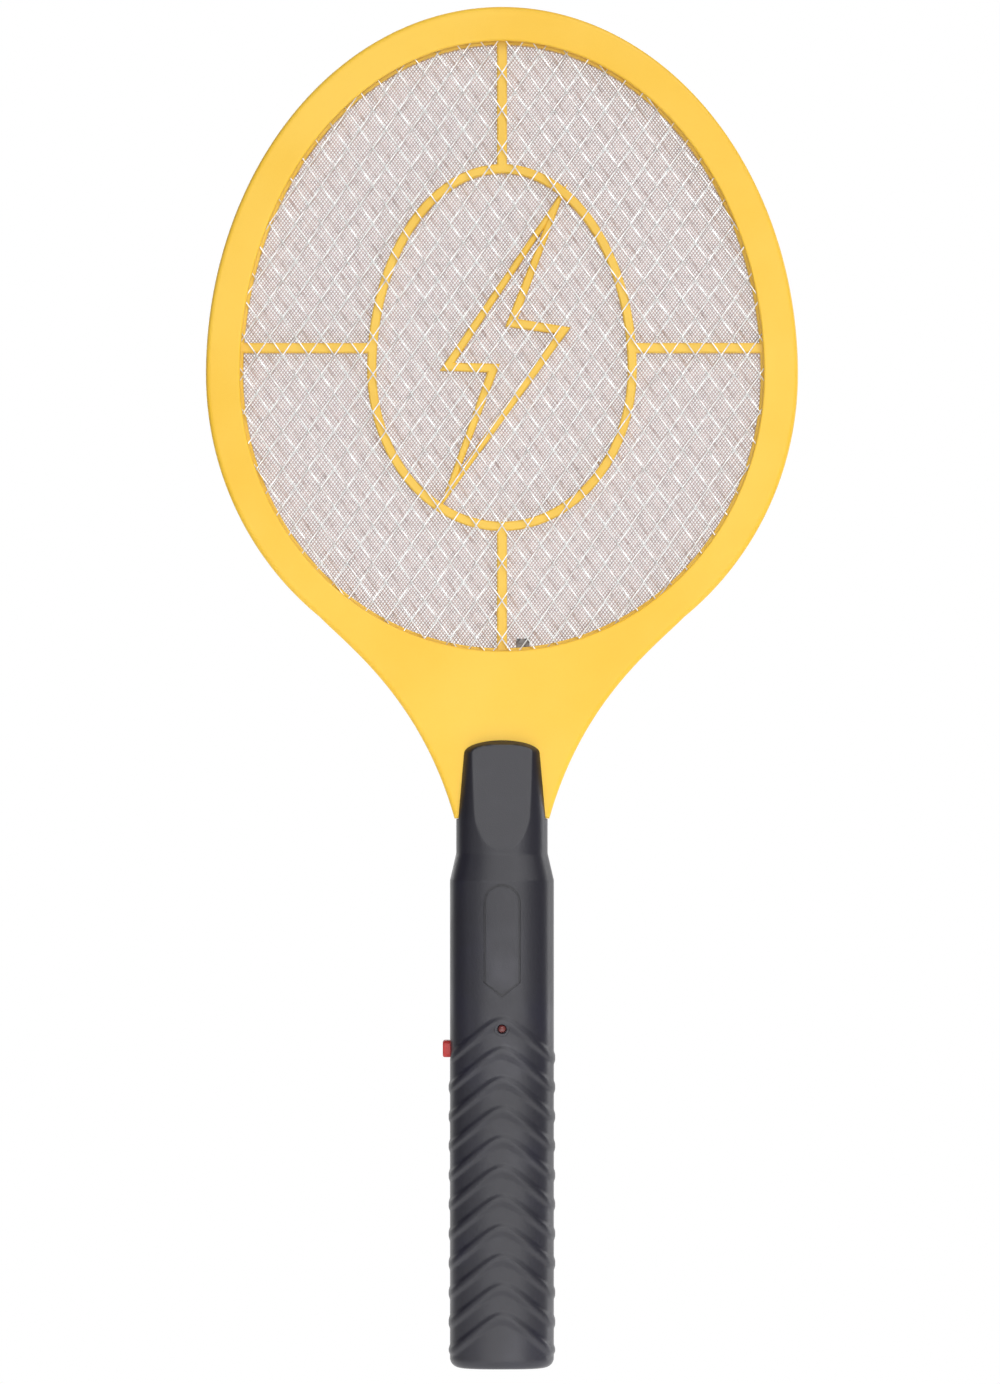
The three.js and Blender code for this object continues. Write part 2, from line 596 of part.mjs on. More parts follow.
function frontShell(outside, inside, ribs) {
  const wall = frontHalf(joined(cut(outside, inside), ribs));
  const posts = [
    ...postPlaces().map((p) => bar("y", -HALF_DEPTH, FRAME_HALF, POST_RADIUS, p)),
    ...lowerPlaces().map((p) => bar("y", -HALF_DEPTH, -PART_GAP, POST_RADIUS, p)),
    ...boardPlaces().map((p) => bar("y", -HALF_DEPTH, BOARD_FRONT - GAP, 2.4, p)),
  ].map((post) => post.intersect(outside));
  const screwHoles = [
    ...postPlaces().map((p) => bar("y", -4, FRAME_HALF + 1, SCREW_RADIUS + SCREW_ROOM, p)),
    ...lowerPlaces().map((p) => bar("y", -8, 1, SCREW_RADIUS + SCREW_ROOM, p)),
    ...boardPlaces().map((p) => bar("y", BOARD_FRONT - 5, BOARD_FRONT, 1, p)),
  ];
  const endWall = outside.intersect(block(-FAR, -FAR, -1, FAR, RAIL_Y - GAP, END_WALL));
  const lampRing = bar("y", -HALF_DEPTH - 0.4, -HALF_DEPTH + 1, LAMP_RADIUS + 1.2, [0, LAMP_Z], 20);
  const lampHole = bar("y", -HALF_DEPTH - 3, -INNER_DEPTH + 2, LAMP_RADIUS + GAP / 2, [0, LAMP_Z]);
  return cut(
    joined(cut(wall, frameRoom()), ...posts, endWall, lampRing),
    ...screwHoles,
    lampHole,
    badgeGroove(),
    buttonWell(GAP),
  );
}

const coverRoom = () =>
  block(
    -COVER_HALF_WIDTH - GAP,
    RAIL_Y - GAP,
    -FAR,
    COVER_HALF_WIDTH + GAP,
    FAR,
    COVER_TOP + GAP,
  );

function rearShell(outside, inside, ribs) {
  const wall = rearHalf(joined(cut(outside, inside), ribs));
  const bosses = [
    bar("y", FRAME_HALF + GAP, HALF_DEPTH, POST_RADIUS + 1, [0, POST_LOW_Z]),
    ...lowerPlaces().map((p) => bar("y", PART_GAP, HALF_DEPTH, POST_RADIUS, p)),
  ].map((boss) => boss.intersect(outside));
  const screwHoles = [...postPlaces(), ...lowerPlaces()].flatMap((p) => [
    bar("y", -1, FAR, SCREW_RADIUS + GAP, p),
    bar("y", SCREW_SEAT, FAR, SCREW_HEAD_RADIUS + GAP, p),
  ]);
  const endRoom = block(-FAR, -FAR, -FAR, FAR, RAIL_Y - GAP / 2, END_WALL + GAP);
  const hookReach = COVER_HALF_WIDTH + COVER_RAIL_REACH + GAP;
  const hookBack = RAIL_Y + COVER_RAIL + GAP;
  const hookRoom = block(-hookReach, RAIL_Y - GAP, -1, hookReach, hookBack, TRAY_FOOT + 2);
  return cut(
    joined(cut(wall, frameRoom(), endRoom, hookRoom), ...bosses),
    ...screwHoles,
    coverRoom(),
    buttonWell(GAP),
  );
}

// The sliding battery cover: a panel of the handle's own skin on two hooked rails.
function batteryCover(outside, inside) {
  const half = COVER_HALF_WIDTH;
  const panelRoom = block(-half, RAIL_Y, -FAR, half, FAR, COVER_TOP);
  const panel = cut(outside, inside).intersect(panelRoom);
  const railTop = COVER_TOP - 2;
  const rails = [-1, 1].flatMap((side) => {
    const [near, far] = [half - COVER_RAIL - GAP, half - GAP].map((x) => side * x);
    const hook = side * (half + COVER_RAIL_REACH);
    const [x0, x1] = [Math.min(near, far), Math.max(near, far)];
    const web = block(x0, RAIL_Y, END_WALL, x1, INNER_DEPTH, railTop).intersect(outside);
    return [
      web,
      block(Math.min(near, hook), RAIL_Y, TRAY_FOOT, Math.max(near, hook), RAIL_Y + COVER_RAIL, railTop),
    ];
  });
  const wide = COVER_LIP_HALF_WIDTH;
  const lipBack = insideDepth(wide) - GAP;
  const lip = block(-wide, lipBack - 1.4, COVER_TOP - 4, wide, lipBack, COVER_TOP + 4);
  const lipRoot = block(-wide, lipBack - 1.4, COVER_TOP - 4, wide, INNER_DEPTH + 0.5, COVER_TOP - 1);
  const thumbZ = COVER_TOP - 14;
  const thumbRibs = [0, 1, 2, 3].map((i) =>
    bar("x", -6 + i, 6 - i, 0.7, [HALF_DEPTH - 0.1, thumbZ - i * 2.6], 8),
  );
  return joined(panel, ...rails, lip, lipRoot, ...thumbRibs);
}

// A pan-head screw driven from behind: its head seats at `seat`, and its tip is at `tip`.
function screw([x, z], seat, tip, radius, headRadius, headHeight) {
  const slotFloor = seat + headHeight * 0.45;
  const arm = headRadius * 0.7;
  const slot = block(x - 0.3, slotFloor, z - arm, x + 0.3, FAR, z + arm);
  const cross = block(x - arm, slotFloor, z - 0.3, x + arm, FAR, z + 0.3);
  const rim = headHeight * 0.6;
  const head = bar("y", seat, seat + rim, headRadius, [x, z], 14);
  const crown = new THREE.CylinderGeometry(headRadius * 0.62, headRadius, headHeight - rim, 14);
  crown.translate(x, seat + rim + (headHeight - rim) / 2, z);
  const shank = bar("y", tip + 1, seat + 0.1, radius, [x, z], 8);
  const point = new THREE.CylinderGeometry(radius, 0.25, 1.1, 8).translate(x, tip + 0.5, z);
  return cut(joined(head, solid(crown), shank, solid(point)), slot, cross);
}

function screws() {
  const large = [SCREW_RADIUS, SCREW_HEAD_RADIUS, SCREW_HEAD_HEIGHT];
  const [topPost, lowPost] = postPlaces();
  const [lowerLeft, lowerRight] = lowerPlaces();
  const seat = SCREW_SEAT + SEAT_GAP;
  place("handle_screw_neck_top", screw(topPost, seat, -2, ...large), steel);
  place("handle_screw_neck_low", screw(lowPost, seat, -2, ...large), steel);
  place("handle_screw_left", screw(lowerLeft, seat, -5, ...large), steel);
  place("handle_screw_right", screw(lowerRight, seat, -5, ...large), steel);
  ["left", "right"].forEach((name, i) => {
    const at = [(2 * i - 1) * FRAME_SCREW_X, FRAME_SCREW_Z];
    place("frame_screw_" + name, screw(at, FRAME_SCREW_SEAT + SEAT_GAP, -3.2, 0.95, 2.2, 1.2), steel);
  });
  ["upper", "lower"].forEach((name, i) => {
    const at = boardPlaces()[i];
    place("board_screw_" + name, screw(at, BOARD_BACK + GAP, BOARD_FRONT - 4, 0.8, 1.8, 1.2), steel);
  });
}

function handle() {
  const outside = handleOutside(0);
  const inside = handleInside();
  const ribs = gripRibs();
  place("front_handle_shell", frontShell(outside, inside, ribs), black);
  place("rear_handle_shell", rearShell(outside, inside, ribs), black);
  place("battery_cover", batteryCover(outside, inside), black);
  screws();
}

// ---------- push switch and lamp ----------
const FLANGE_X = -INNER_WIDTH + 0.85; // outer face of the button's retaining flange
const SWITCH_FACE = FLANGE_X + BUTTON_TRAVEL + 1.9;
const SWITCH_LENGTH = 9;
const SWITCH_WALL = 1.2;

const centred = (x0, x1, half, z) => block(x0, -half, z - half, x1, half, z + half);

function pushSwitch() {
  const outer = new THREE.Shape();
  const [w, h] = [BUTTON_HALF_WIDTH, BUTTON_HALF_HEIGHT];
  outer
    .moveTo(-w + 1.5, -h)
    .lineTo(w - 1.5, -h)
    .absarc(w - 1.5, -h + 1.5, 1.5, -Math.PI / 2, 0, false)
    .absarc(w - 1.5, h - 1.5, 1.5, 0, Math.PI / 2, false)
    .absarc(-w + 1.5, h - 1.5, 1.5, Math.PI / 2, Math.PI, false)
    .absarc(-w + 1.5, -h + 1.5, 1.5, Math.PI, 1.5 * Math.PI, false);
  const [edge, reach] = [0.5, HALF_WIDTH + BUTTON_PROUD + FLANGE_X + 0.6];
  const capGeometry = new THREE.ExtrudeGeometry(outer, {
    depth: reach - 2 * edge,
    bevelThickness: edge,
    bevelSize: edge,
    bevelOffset: -edge,
    bevelSegments: 2,
    curveSegments: 3,
  });
  capGeometry.rotateX(Math.PI / 2).rotateZ(Math.PI / 2);
  capGeometry.translate(-HALF_WIDTH - BUTTON_PROUD + edge, 0, BUTTON_Z);
  const lip = 1;
  const [foot, top] = [BUTTON_Z - h - lip, BUTTON_Z + h + lip];
  const flange = block(FLANGE_X, -w - lip, foot, FLANGE_X + 1.2, w + lip, top);
  place("power_button", joined(solid(capGeometry), flange), red);

  const footX = SWITCH_FACE + SWITCH_WALL + GAP;
  const stem = centred(FLANGE_X + 1.2 + GAP, footX + 0.1, 1.5, BUTTON_Z);
  place("switch_plunger", joined(stem, centred(footX, footX + 1.2, 2.8, BUTTON_Z)), epoxy);

  const casing = centred(SWITCH_FACE, SWITCH_FACE + SWITCH_LENGTH, SWITCH_HALF, BUTTON_Z);
  const backX = SWITCH_FACE + SWITCH_LENGTH - SWITCH_WALL;
  const chamber = centred(SWITCH_FACE + SWITCH_WALL, backX, 3.1, BUTTON_Z);
  const mouth = centred(SWITCH_FACE - 1, SWITCH_FACE + SWITCH_WALL + 1, 1.5 + GAP / 2, BUTTON_Z);
  place("switch_body", cut(casing, chamber, mouth), epoxy);

  const springFrom = footX + 1.2 + GAP;
  const along = (turnAt) => [springFrom + 0.3 + turnAt * (backX - springFrom - 0.6 - GAP), 0, 0];
  place("switch_spring", coil(along, 2, 2, 3.5, 0.25, BUTTON_Z, "x"), steel);
}

// A coil spring of wire radius r whose end radii are given; it runs along z, or along x if asked.
class Coil extends THREE.Curve {
  constructor(station, radius0, radius1, turns, centreZ, axis) {
    super();
    Object.assign(this, { station, radius0, radius1, turns, centreZ, axis });
  }
  getPoint(t, target = new THREE.Vector3()) {
    const radius = this.radius0 + (this.radius1 - this.radius0) * t;
    const angle = 2 * Math.PI * this.turns * t;
    const [a, b] = [radius * Math.cos(angle), radius * Math.sin(angle)];
    const [x, y, z] = this.station(t);
    if (this.axis === "x") return target.set(x, a, this.centreZ + b);
    return target.set(x + a, y + b, z);
  }
}

function coil(station, radius0, radius1, turns, wire, centreZ = 0, axis = "z") {
  const path = new Coil(station, radius0, radius1, turns, centreZ, axis);
  return tube(path, wire, Math.round(turns * 8), 4);
}

function lamp() {
  const tip = -HALF_DEPTH - LAMP_PROUD;
  const collar = -INNER_DEPTH + GAP;
  const dome = new THREE.SphereGeometry(LAMP_RADIUS, 16, 6).translate(0, tip + LAMP_RADIUS, LAMP_Z);
  const stem = bar("y", tip + LAMP_RADIUS, collar + 1, LAMP_RADIUS, [0, LAMP_Z], 16);
  const base = bar("y", collar, collar + 1, LAMP_RADIUS + 0.4, [0, LAMP_Z], 16);
  const legs = [-0.8, 0.8].map((x) => bar("y", collar + 0.9, BOARD_FRONT - GAP, 0.25, [x, LAMP_Z], 6));
  place("indicator_lamp", joined(solid(dome), stem, base, ...legs), lampRed);
}

// ---------- circuit board and its components ----------
const PART_Y = BOARD_BACK + GAP; // where components sit

function disc(x, z, radius, thickness, height) {
  const y = PART_Y + height;
  const body = bar("z", z - thickness / 2, z + thickness / 2, radius, [x, y], 16);
  const legs = [-1, 1].map((s) => bar("y", PART_Y, y, 0.3, [x + s * radius * 0.6, z], 6));
  return joined(body, ...legs);
}

function axial(x, z, radius, length) {
  const y = PART_Y + radius + 0.4;
  const body = bar("x", x - length / 2, x + length / 2, radius, [y, z], 10);
  const leadReach = length / 2 + 1.5;
  const lead = bar("x", x - leadReach, x + leadReach, 0.3, [y, z], 5);
  const legs = [-1, 1].map((s) => bar("y", PART_Y, y + 0.3, 0.3, [x + s * (leadReach - 0.3), z], 5));
  return joined(body, lead, ...legs);
}

// A round case with one flat side, on three legs.
function transistor(x, z) {
  const round = bar("y", PART_Y + 2.5, PART_Y + 7, 2.3, [x, z], 14);
  const flat = block(x - 3, PART_Y, z - 3.5, x + 3, PART_Y + 8, z - 1.4);
  const legs = [-1.27, 0, 1.27].map((dx) => bar("y", PART_Y, PART_Y + 3, 0.25, [x + dx, z], 6));
  return joined(cut(round, flat), ...legs);
}

// Heights of the middles of parts this long, spread evenly between two heights.
function spread(from, to, lengths) {
  const total = lengths.reduce((sum, length) => sum + length, 0);
  const space = (to - from - total) / (lengths.length + 1);
  let z = from;
  return lengths.map((length) => {
    z += space + length;
    return z - length / 2;
  });
}

const CORE_SIZE = 13;
function circuit() {
  const board = block(-BOARD_HALF_WIDTH, BOARD_FRONT, BOARD_FOOT, BOARD_HALF_WIDTH, BOARD_BACK, BOARD_TOP);
  const boardHoles = boardPlaces().map((p) => bar("y", BOARD_FRONT - 1, BOARD_BACK + 1, 1.1, p, 12));
  place("circuit_board", cut(board, ...boardHoles), boardGreen);

  const upper = spread(LAMP_Z + 3, BOARD_TOP - 6.5, [CORE_SIZE, 2.7, 2.7, 2.7]);
  const lower = spread(BOARD_FOOT + 2.5, BUTTON_Z - SWITCH_HALF - GAP, [1.8, 2.4, 8, 1.8]);

  const coreZ = upper[0];
  const [coreX, coreY, half] = [1.5, PART_Y + 5.3, CORE_SIZE / 2];
  const core = cut(
    block(coreX - half, coreY - 2.5, coreZ - half, coreX + half, coreY + 2.5, coreZ + half),
    block(coreX - 4.8, coreY - 3, coreZ - 4.8, coreX - 1.5, coreY + 3, coreZ + 4.8),
    block(coreX + 1.5, coreY - 3, coreZ - 4.8, coreX + 4.8, coreY + 3, coreZ + 4.8),
  );
  const winding = cut(
    block(coreX - 4.5, coreY - 5.3, coreZ - 4.5, coreX + 4.5, coreY + 5.3, coreZ + 4.5),
    block(coreX - 1.8, coreY - 2.8, coreZ - 5, coreX + 1.8, coreY + 2.8, coreZ + 5),
  );
  place("transformer_core", core, ferrite);
  place("transformer_winding", winding, tape);
  upper.slice(1).forEach((z, i) => place("diode_" + (i + 1), axial(1.5, z, 1.35, 5), epoxy));

  const [lowResistorZ, discZ, filmZ, highResistorZ] = lower;
  const film = new THREE.BoxGeometry(13, 6.5, 8).translate(1.5, PART_Y + 4, filmZ);
  const filmLegs = [-5, 5].map((x) => bar("y", PART_Y, PART_Y + 1.5, 0.35, [x + 1.5, filmZ], 6));
  place("hv_capacitor", joined(solid(film), ...filmLegs), filmBrown);
  [-4.4, 4.4].forEach((x, i) => {
    place("multiplier_capacitor_" + (i + 1), disc(x, discZ, 3.2, 2.4, 4.4), ceramic);
  });
  place("resistor_1", axial(4.8, BUTTON_Z + 3, 0.9, 3.6), resistorTan);
  place("resistor_2", axial(1.2, lowResistorZ, 0.9, 3.6), resistorTan);
  place("resistor_3", axial(1.5, highResistorZ, 0.9, 3.6), resistorTan);
  place("transistor", transistor(7.5, BUTTON_Z - 2), epoxy);
}

// ---------- cells, contacts and wires ----------
function cell(x, foot, nubUp) {
  const bodyFoot = nubUp ? foot : foot + NUB_LENGTH;
  const bodyTop = bodyFoot + CELL_LENGTH;
  const nub = nubUp ? [bodyTop - 0.1, bodyTop + NUB_LENGTH] : [foot, foot + NUB_LENGTH + 0.1];
  const profile = [
    [0, bodyFoot],
    [CELL_RADIUS - 0.5, bodyFoot],
    [CELL_RADIUS, bodyFoot + 0.5],
    [CELL_RADIUS, bodyTop - 0.5],
    [CELL_RADIUS - 0.5, bodyTop],
    [0, bodyTop],
  ].map(([r, z]) => new THREE.Vector2(r, z));
  const can = new THREE.LatheGeometry(profile, 24).rotateX(Math.PI / 2).translate(x, CELL_Y, 0);
  return joined(solid(can), bar("z", ...nub, NUB_RADIUS, [x, CELL_Y], 16));
}

function batteries() {
  const top = BAY_FOOT + CELL_STACK;
  place("battery_cell_left", cell(-CELL_X, BAY_FOOT + CELL_SPRING_LENGTH + GAP, true), cellGreen);
  place("battery_cell_right", cell(CELL_X, BAY_FOOT, false), cellGreen);
  const squeezed = CELL_SPRING_LENGTH - GAP - 0.8;
  place(
    "battery_spring_lower",
    coil((t) => [-CELL_X, CELL_Y, BAY_FOOT + 0.4 + t * squeezed], 4.4, 2.6, 3.5, 0.35),
    steel,
  );
  place(
    "battery_spring_upper",
    coil((t) => [CELL_X, CELL_Y, top - 0.4 - t * squeezed], 4.4, 2.6, 3.5, 0.35),
    steel,
  );

  const half = 5.2;
  const [lowerTop, upperTop] = [LOWER_CONTACT, UPPER_CONTACT].map((z) => z + CONTACT_THICKNESS);
  const bridge = block(-CELL_X - half, CELL_Y - half, LOWER_CONTACT, CELL_X + half, CELL_Y + half, lowerTop);
  place("battery_bridge_contact", bridge, steel);
  const trayFront = CELL_Y - CELL_RADIUS - 0.4 - TRAY_WALL;
  [["positive", -CELL_X], ["negative", CELL_X]].forEach(([name, x]) => {
    const front = trayFront + TRAY_WALL + 1;
    const plate = block(x - half, front, UPPER_CONTACT, x + half, CELL_Y + half, upperTop);
    const tailBack = front + CONTACT_THICKNESS;
    const tail = block(x - 1.2, front, UPPER_CONTACT, x + 1.2, tailBack, TRAY_TOP + 3);
    place("battery_" + name + "_contact", joined(plate, tail), steel);
  });

  const trayHalf = CELL_X + CELL_RADIUS + 0.3;
  const [wallBack, floorBack] = [RAIL_Y - 2 * GAP, trayFront + TRAY_WALL];
  const tailRoom = [-CELL_X, CELL_X].map((x) =>
    block(x - 1.8, floorBack - 0.5, UPPER_CONTACT, x + 1.8, floorBack + 2.4, FAR),
  );
  const tray = joined(
    block(-trayHalf, trayFront, TRAY_FOOT, trayHalf, floorBack, TRAY_TOP),
    block(-trayHalf, trayFront, TRAY_FOOT, trayHalf, wallBack, TRAY_FOOT + TRAY_WALL),
    block(-trayHalf, trayFront, TRAY_TOP - TRAY_WALL, trayHalf, wallBack, TRAY_TOP),
    block(-0.9, trayFront, BAY_FOOT + 7, 0.9, CELL_Y - 4.5, UPPER_CONTACT - 8),
  );
  place("battery_tray", cut(tray, ...tailRoom), trayGrey);
}

function wires() {
  const padY = PART_Y + WIRE_RADIUS;
  const tailY = CELL_Y - CELL_RADIUS - 0.4 + 1;
  [["positive", -CELL_X, wireRed], ["negative", CELL_X, wireBlack]].forEach(([name, x, material]) => {
    const inward = x * 0.65;
    const path = [
      [x, tailY + 0.2, TRAY_TOP + 3 + GAP],
      [x * 0.9, tailY + 0.4, TRAY_TOP + 6],
      [inward, tailY + 2, TRAY_TOP + 11],
      [inward, padY + 0.5, BOARD_FOOT - 1],
      [inward, padY, BOARD_FOOT + 2],
    ];
    place("wire_battery_" + name, tube(path, WIRE_RADIUS, 10), material);
  });
  const neckWire = (name, side, xPad, depth, endX, endY, material) => {
    const x = side * 6.5;
    const path = [
      [xPad, padY, BOARD_TOP - 2.5],
      [xPad, padY + 0.6, BOARD_TOP + 1.5],
      [x, depth, TANG_FOOT + 4],
      [x, depth, (TANG_FOOT + HANDLE_LENGTH) / 2],
      [x, depth, POST_TOP_Z + 6],
      [(x + endX) / 2, (depth + endY) / 2, POST_TOP_Z + 18],
      [endX, endY, TAB_FOOT - 6],
      [endX, endY, TAB_FOOT - GAP],
    ];
    place(name, tube(path, WIRE_RADIUS, 17), material);
  };
  const netY = NET_NEAR + NET_THICKNESS / 2 - 0.5;
  const centreY = -SPACER_NEAR - CONTACT_THICKNESS / 2;
  neckWire("wire_centre_net", 1, 2.5, 0, TAB_X, centreY, wireRed);
  neckWire("wire_front_net", -1, -1.2, -1.7, -TAB_X, -netY, wireBlack);
  neckWire("wire_rear_net", -1, -4.4, 1.7, -TAB_X, netY, wireBlack);
}

head();
handle();
pushSwitch();
lamp();
circuit();
batteries();
wires();

export default swatter;
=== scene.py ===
# %% [markdown]
# # An electric fly swatter, one piece at a time
# The swatter is an oval racket head in yellow plastic that clamps three metal nets, on a dark
# handle that holds two cells and a small high-voltage circuit. The exact sizes already exist in
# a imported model, so the lesson starts by loading it as a fixed frame. Everything made here is
# placed by that frame, in metres, with +Z towards the head and -Y towards the front.

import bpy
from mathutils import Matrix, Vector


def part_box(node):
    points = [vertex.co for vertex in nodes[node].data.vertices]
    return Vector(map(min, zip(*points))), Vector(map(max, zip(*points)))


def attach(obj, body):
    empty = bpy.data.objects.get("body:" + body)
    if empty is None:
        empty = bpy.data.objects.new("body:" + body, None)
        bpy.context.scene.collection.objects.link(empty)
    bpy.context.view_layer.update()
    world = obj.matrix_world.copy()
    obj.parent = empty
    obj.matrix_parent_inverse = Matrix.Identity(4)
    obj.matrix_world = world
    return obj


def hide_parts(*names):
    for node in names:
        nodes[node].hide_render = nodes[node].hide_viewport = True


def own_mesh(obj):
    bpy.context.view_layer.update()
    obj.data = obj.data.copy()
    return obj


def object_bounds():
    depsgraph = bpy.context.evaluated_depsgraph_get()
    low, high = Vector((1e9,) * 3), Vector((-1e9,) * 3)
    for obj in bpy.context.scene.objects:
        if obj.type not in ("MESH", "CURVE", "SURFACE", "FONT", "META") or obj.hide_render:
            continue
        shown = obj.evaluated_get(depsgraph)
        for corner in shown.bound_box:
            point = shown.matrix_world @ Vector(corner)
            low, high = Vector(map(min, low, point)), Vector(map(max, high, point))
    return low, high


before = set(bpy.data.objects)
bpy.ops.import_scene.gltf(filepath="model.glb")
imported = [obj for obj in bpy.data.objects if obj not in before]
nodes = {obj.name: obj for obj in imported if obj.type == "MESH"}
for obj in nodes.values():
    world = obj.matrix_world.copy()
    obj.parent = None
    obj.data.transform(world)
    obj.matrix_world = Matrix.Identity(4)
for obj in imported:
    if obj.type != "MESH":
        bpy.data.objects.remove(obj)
cad_low, cad_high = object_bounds()
print("frame box in metres:", tuple(cad_low), tuple(cad_high))

# %% [markdown]
# ## Millimetres and boxes
# Blender and the frame work in metres, but small plastic parts are easier to think of in
# millimetres. So every size below is in millimetres, and is scaled once, when its mesh is made.
# Each part's box in the frame tells where the matching piece has to go.

# %% Modules, the millimetre and the frame's boxes
import math

import bpy
import numpy as np
from mathutils import Vector

MM = 0.001
scene = bpy.context.scene


def box_mm(node):
    """Lowest and highest corner of one part of the frame, in millimetres."""
    return [np.array(corner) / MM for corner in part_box(node)]


rim_low, rim_high = box_mm("front_frame")
print("rim from", rim_low.round(2), "to", rim_high.round(2))

# %% [markdown]
# ## Where we stand
# The swatter is seen square from its front, two and a half metres away, so that its edges run
# almost parallel. A long lens does that. The head would look pinched from closer up. The camera
# looks along +Y at the middle of the swatter, and the width of its sensor belongs to the longer
# side of the picture, which is the height here.

# %% Camera
CAMERA_DISTANCE = 2500.0
SEEN_HEIGHT = 499.8
SENSOR = 36.0
SEEN_CENTRE = (-0.7, 243.4)

camera_data = bpy.data.cameras.new("front_camera")
camera_data.sensor_width = SENSOR
camera_data.lens = SENSOR * CAMERA_DISTANCE / SEEN_HEIGHT
camera_data.clip_end = 100.0
camera = bpy.data.objects.new("front_camera", camera_data)
camera.location = (SEEN_CENTRE[0] * MM, -CAMERA_DISTANCE * MM, SEEN_CENTRE[1] * MM)
camera.rotation_euler = (math.radians(90), 0, 0)
scene.collection.objects.link(camera)
scene.camera = camera
print("lens in millimetres:", round(camera_data.lens, 1))

# %% [markdown]
# ## Sums written as sums
# A finish is worked out by small nodes that add, multiply and compare. Wiring them by hand hides
# the idea, so one small class wraps a node's output and lets Python's own signs add the nodes.
# The reflected forms make `1 - mask` work as well as `mask - 1`.

# %% A wrapped output
class Output:
    """An output socket that can be used in a sum."""

    def __init__(self, bench, socket):
        self.bench = bench
        self.socket = socket

    def _math(self, operation, first, second):
        kind = {"operation": operation}
        return self.bench.node("ShaderNodeMath", kind, {0: first, 1: second})

    def __add__(self, other):
        return self._math("ADD", self, other)

    def __sub__(self, other):
        return self._math("SUBTRACT", self, other)

    def __rsub__(self, other):
        return self._math("SUBTRACT", other, self)

    def __mul__(self, other):
        return self._math("MULTIPLY", self, other)

    def __truediv__(self, other):
        return self._math("DIVIDE", self, other)

    def __gt__(self, other):
        return self._math("GREATER_THAN", self, other)

    def __lt__(self, other):
        return self._math("LESS_THAN", self, other)

    def __abs__(self):
        return self._math("ABSOLUTE", self, 0.0)

    def repeated(self, pitch):
        """The same value, starting again from nought at every pitch."""
        return self._math("FLOORED_MODULO", self, pitch)

    __radd__ = __add__
    __rmul__ = __mul__


print("sums ready: + - * / < > abs")

# %% [markdown]
# ## One way to make a node
# Every other node comes from one method of a bench, which is a node tree to work on. It sets the
# node's settings first, because they can change which sockets the node has, and then either
# links or fills its sockets.

# %% The bench that makes nodes
class Bench:
    """A node tree, and the one method that adds nodes to it."""

    def __init__(self, tree):
        self.tree = tree

    def node(self, kind, settings=None, sockets=None, out=0):
        made = self.tree.nodes.new(kind)
        for name, value in (settings or {}).items():
            setattr(made, name, value)
        for name, value in (sockets or {}).items():
            if isinstance(value, Output):
                self.tree.links.new(value.socket, made.inputs[name])
            else:
                made.inputs[name].default_value = value
        return Output(self, made.outputs[out])


print("the bench is ready")

# %% [markdown]
# ## A finish
# A finish is one Principled shader. What is the same all over is a plain number on the shader's
# own socket, and what changes over the surface is linked. Patterns are laid out in millimetres
# in the frame's own coordinates, so that a grain has a real size and never stretches.

# %% The finish, its patterns and its colours
MIX_COLOUR = {"data_type": "RGBA"}
COLOUR_A, COLOUR_B, COLOUR_OUT = 6, 7, 2
OBJECT_PLACE = 3
SMOOTH_STEP = {"interpolation_type": "SMOOTHSTEP"}


def rgb(red, green, blue):
    """A colour from the 0 to 255 scale, as the light values that shaders use."""
    shares = [value / 255 for value in (red, green, blue)]
    linear = [s / 12.92 if s <= 0.04045 else ((s + 0.055) / 1.055) ** 2.4 for s in shares]
    return (*linear, 1.0)


class Finish(Bench):
    """A procedural material on one Principled shader."""

    def __init__(self, name):
        self.material = bpy.data.materials.new(name)
        self.material.use_nodes = True
        super().__init__(self.material.node_tree)
        self.shader = self.tree.nodes["Principled BSDF"]
        spot = self.node("ShaderNodeTexCoord", out=OBJECT_PLACE)
        in_mm = {0: spot, "Scale": 1 / MM}
        self.spot = self.node("ShaderNodeVectorMath", {"operation": "SCALE"}, in_mm)
        self.x, self.y, self.z = (
            self.node("ShaderNodeSeparateXYZ", sockets={0: self.spot}, out=i) for i in range(3)
        )

    def noise(self, per_mm, detail=2.0, rough=0.5):
        scale = {"Vector": self.spot, "Scale": per_mm, "Detail": detail, "Roughness": rough}
        return self.node("ShaderNodeTexNoise", sockets=scale)

    def cells(self, per_mm):
        return self.node("ShaderNodeTexVoronoi", sockets={"Vector": self.spot, "Scale": per_mm})

    def mix(self, share, first, second):
        ends = {0: share, COLOUR_A: first, COLOUR_B: second}
        return self.node("ShaderNodeMix", MIX_COLOUR, ends, out=COLOUR_OUT)

    def step(self, value, start, end):
        """Nought before start, one after end, and a smooth slope between them."""
        ends = {"Value": value, "From Min": start, "From Max": end}
        return self.node("ShaderNodeMapRange", SMOOTH_STEP, ends)

    def relief(self, height, depth_mm, strength=1.0):
        """A normal that makes height look depth_mm deep."""
        sockets = {"Height": height, "Distance": depth_mm * MM, "Strength": strength}
        return self.node("ShaderNodeBump", sockets=sockets)

    def shade(self, **sockets):
        for name, value in sockets.items():
            socket = self.shader.inputs[name.replace("_", " ")]
            if isinstance(value, Output):
                self.tree.links.new(value.socket, socket)
            else:
                socket.default_value = value
        return self.material


print("a mid grey is", rgb(128, 128, 128)[0])

# %% [markdown]
# ## Yellow moulding
# The head is injection-moulded plastic. Up close it isn't one colour: the melt leaves soft
# clouds where it flowed, the mould's surface leaves a fine satin grain, and handling polishes
# some places. Clouds go into the colour, and the grain goes into roughness and relief.

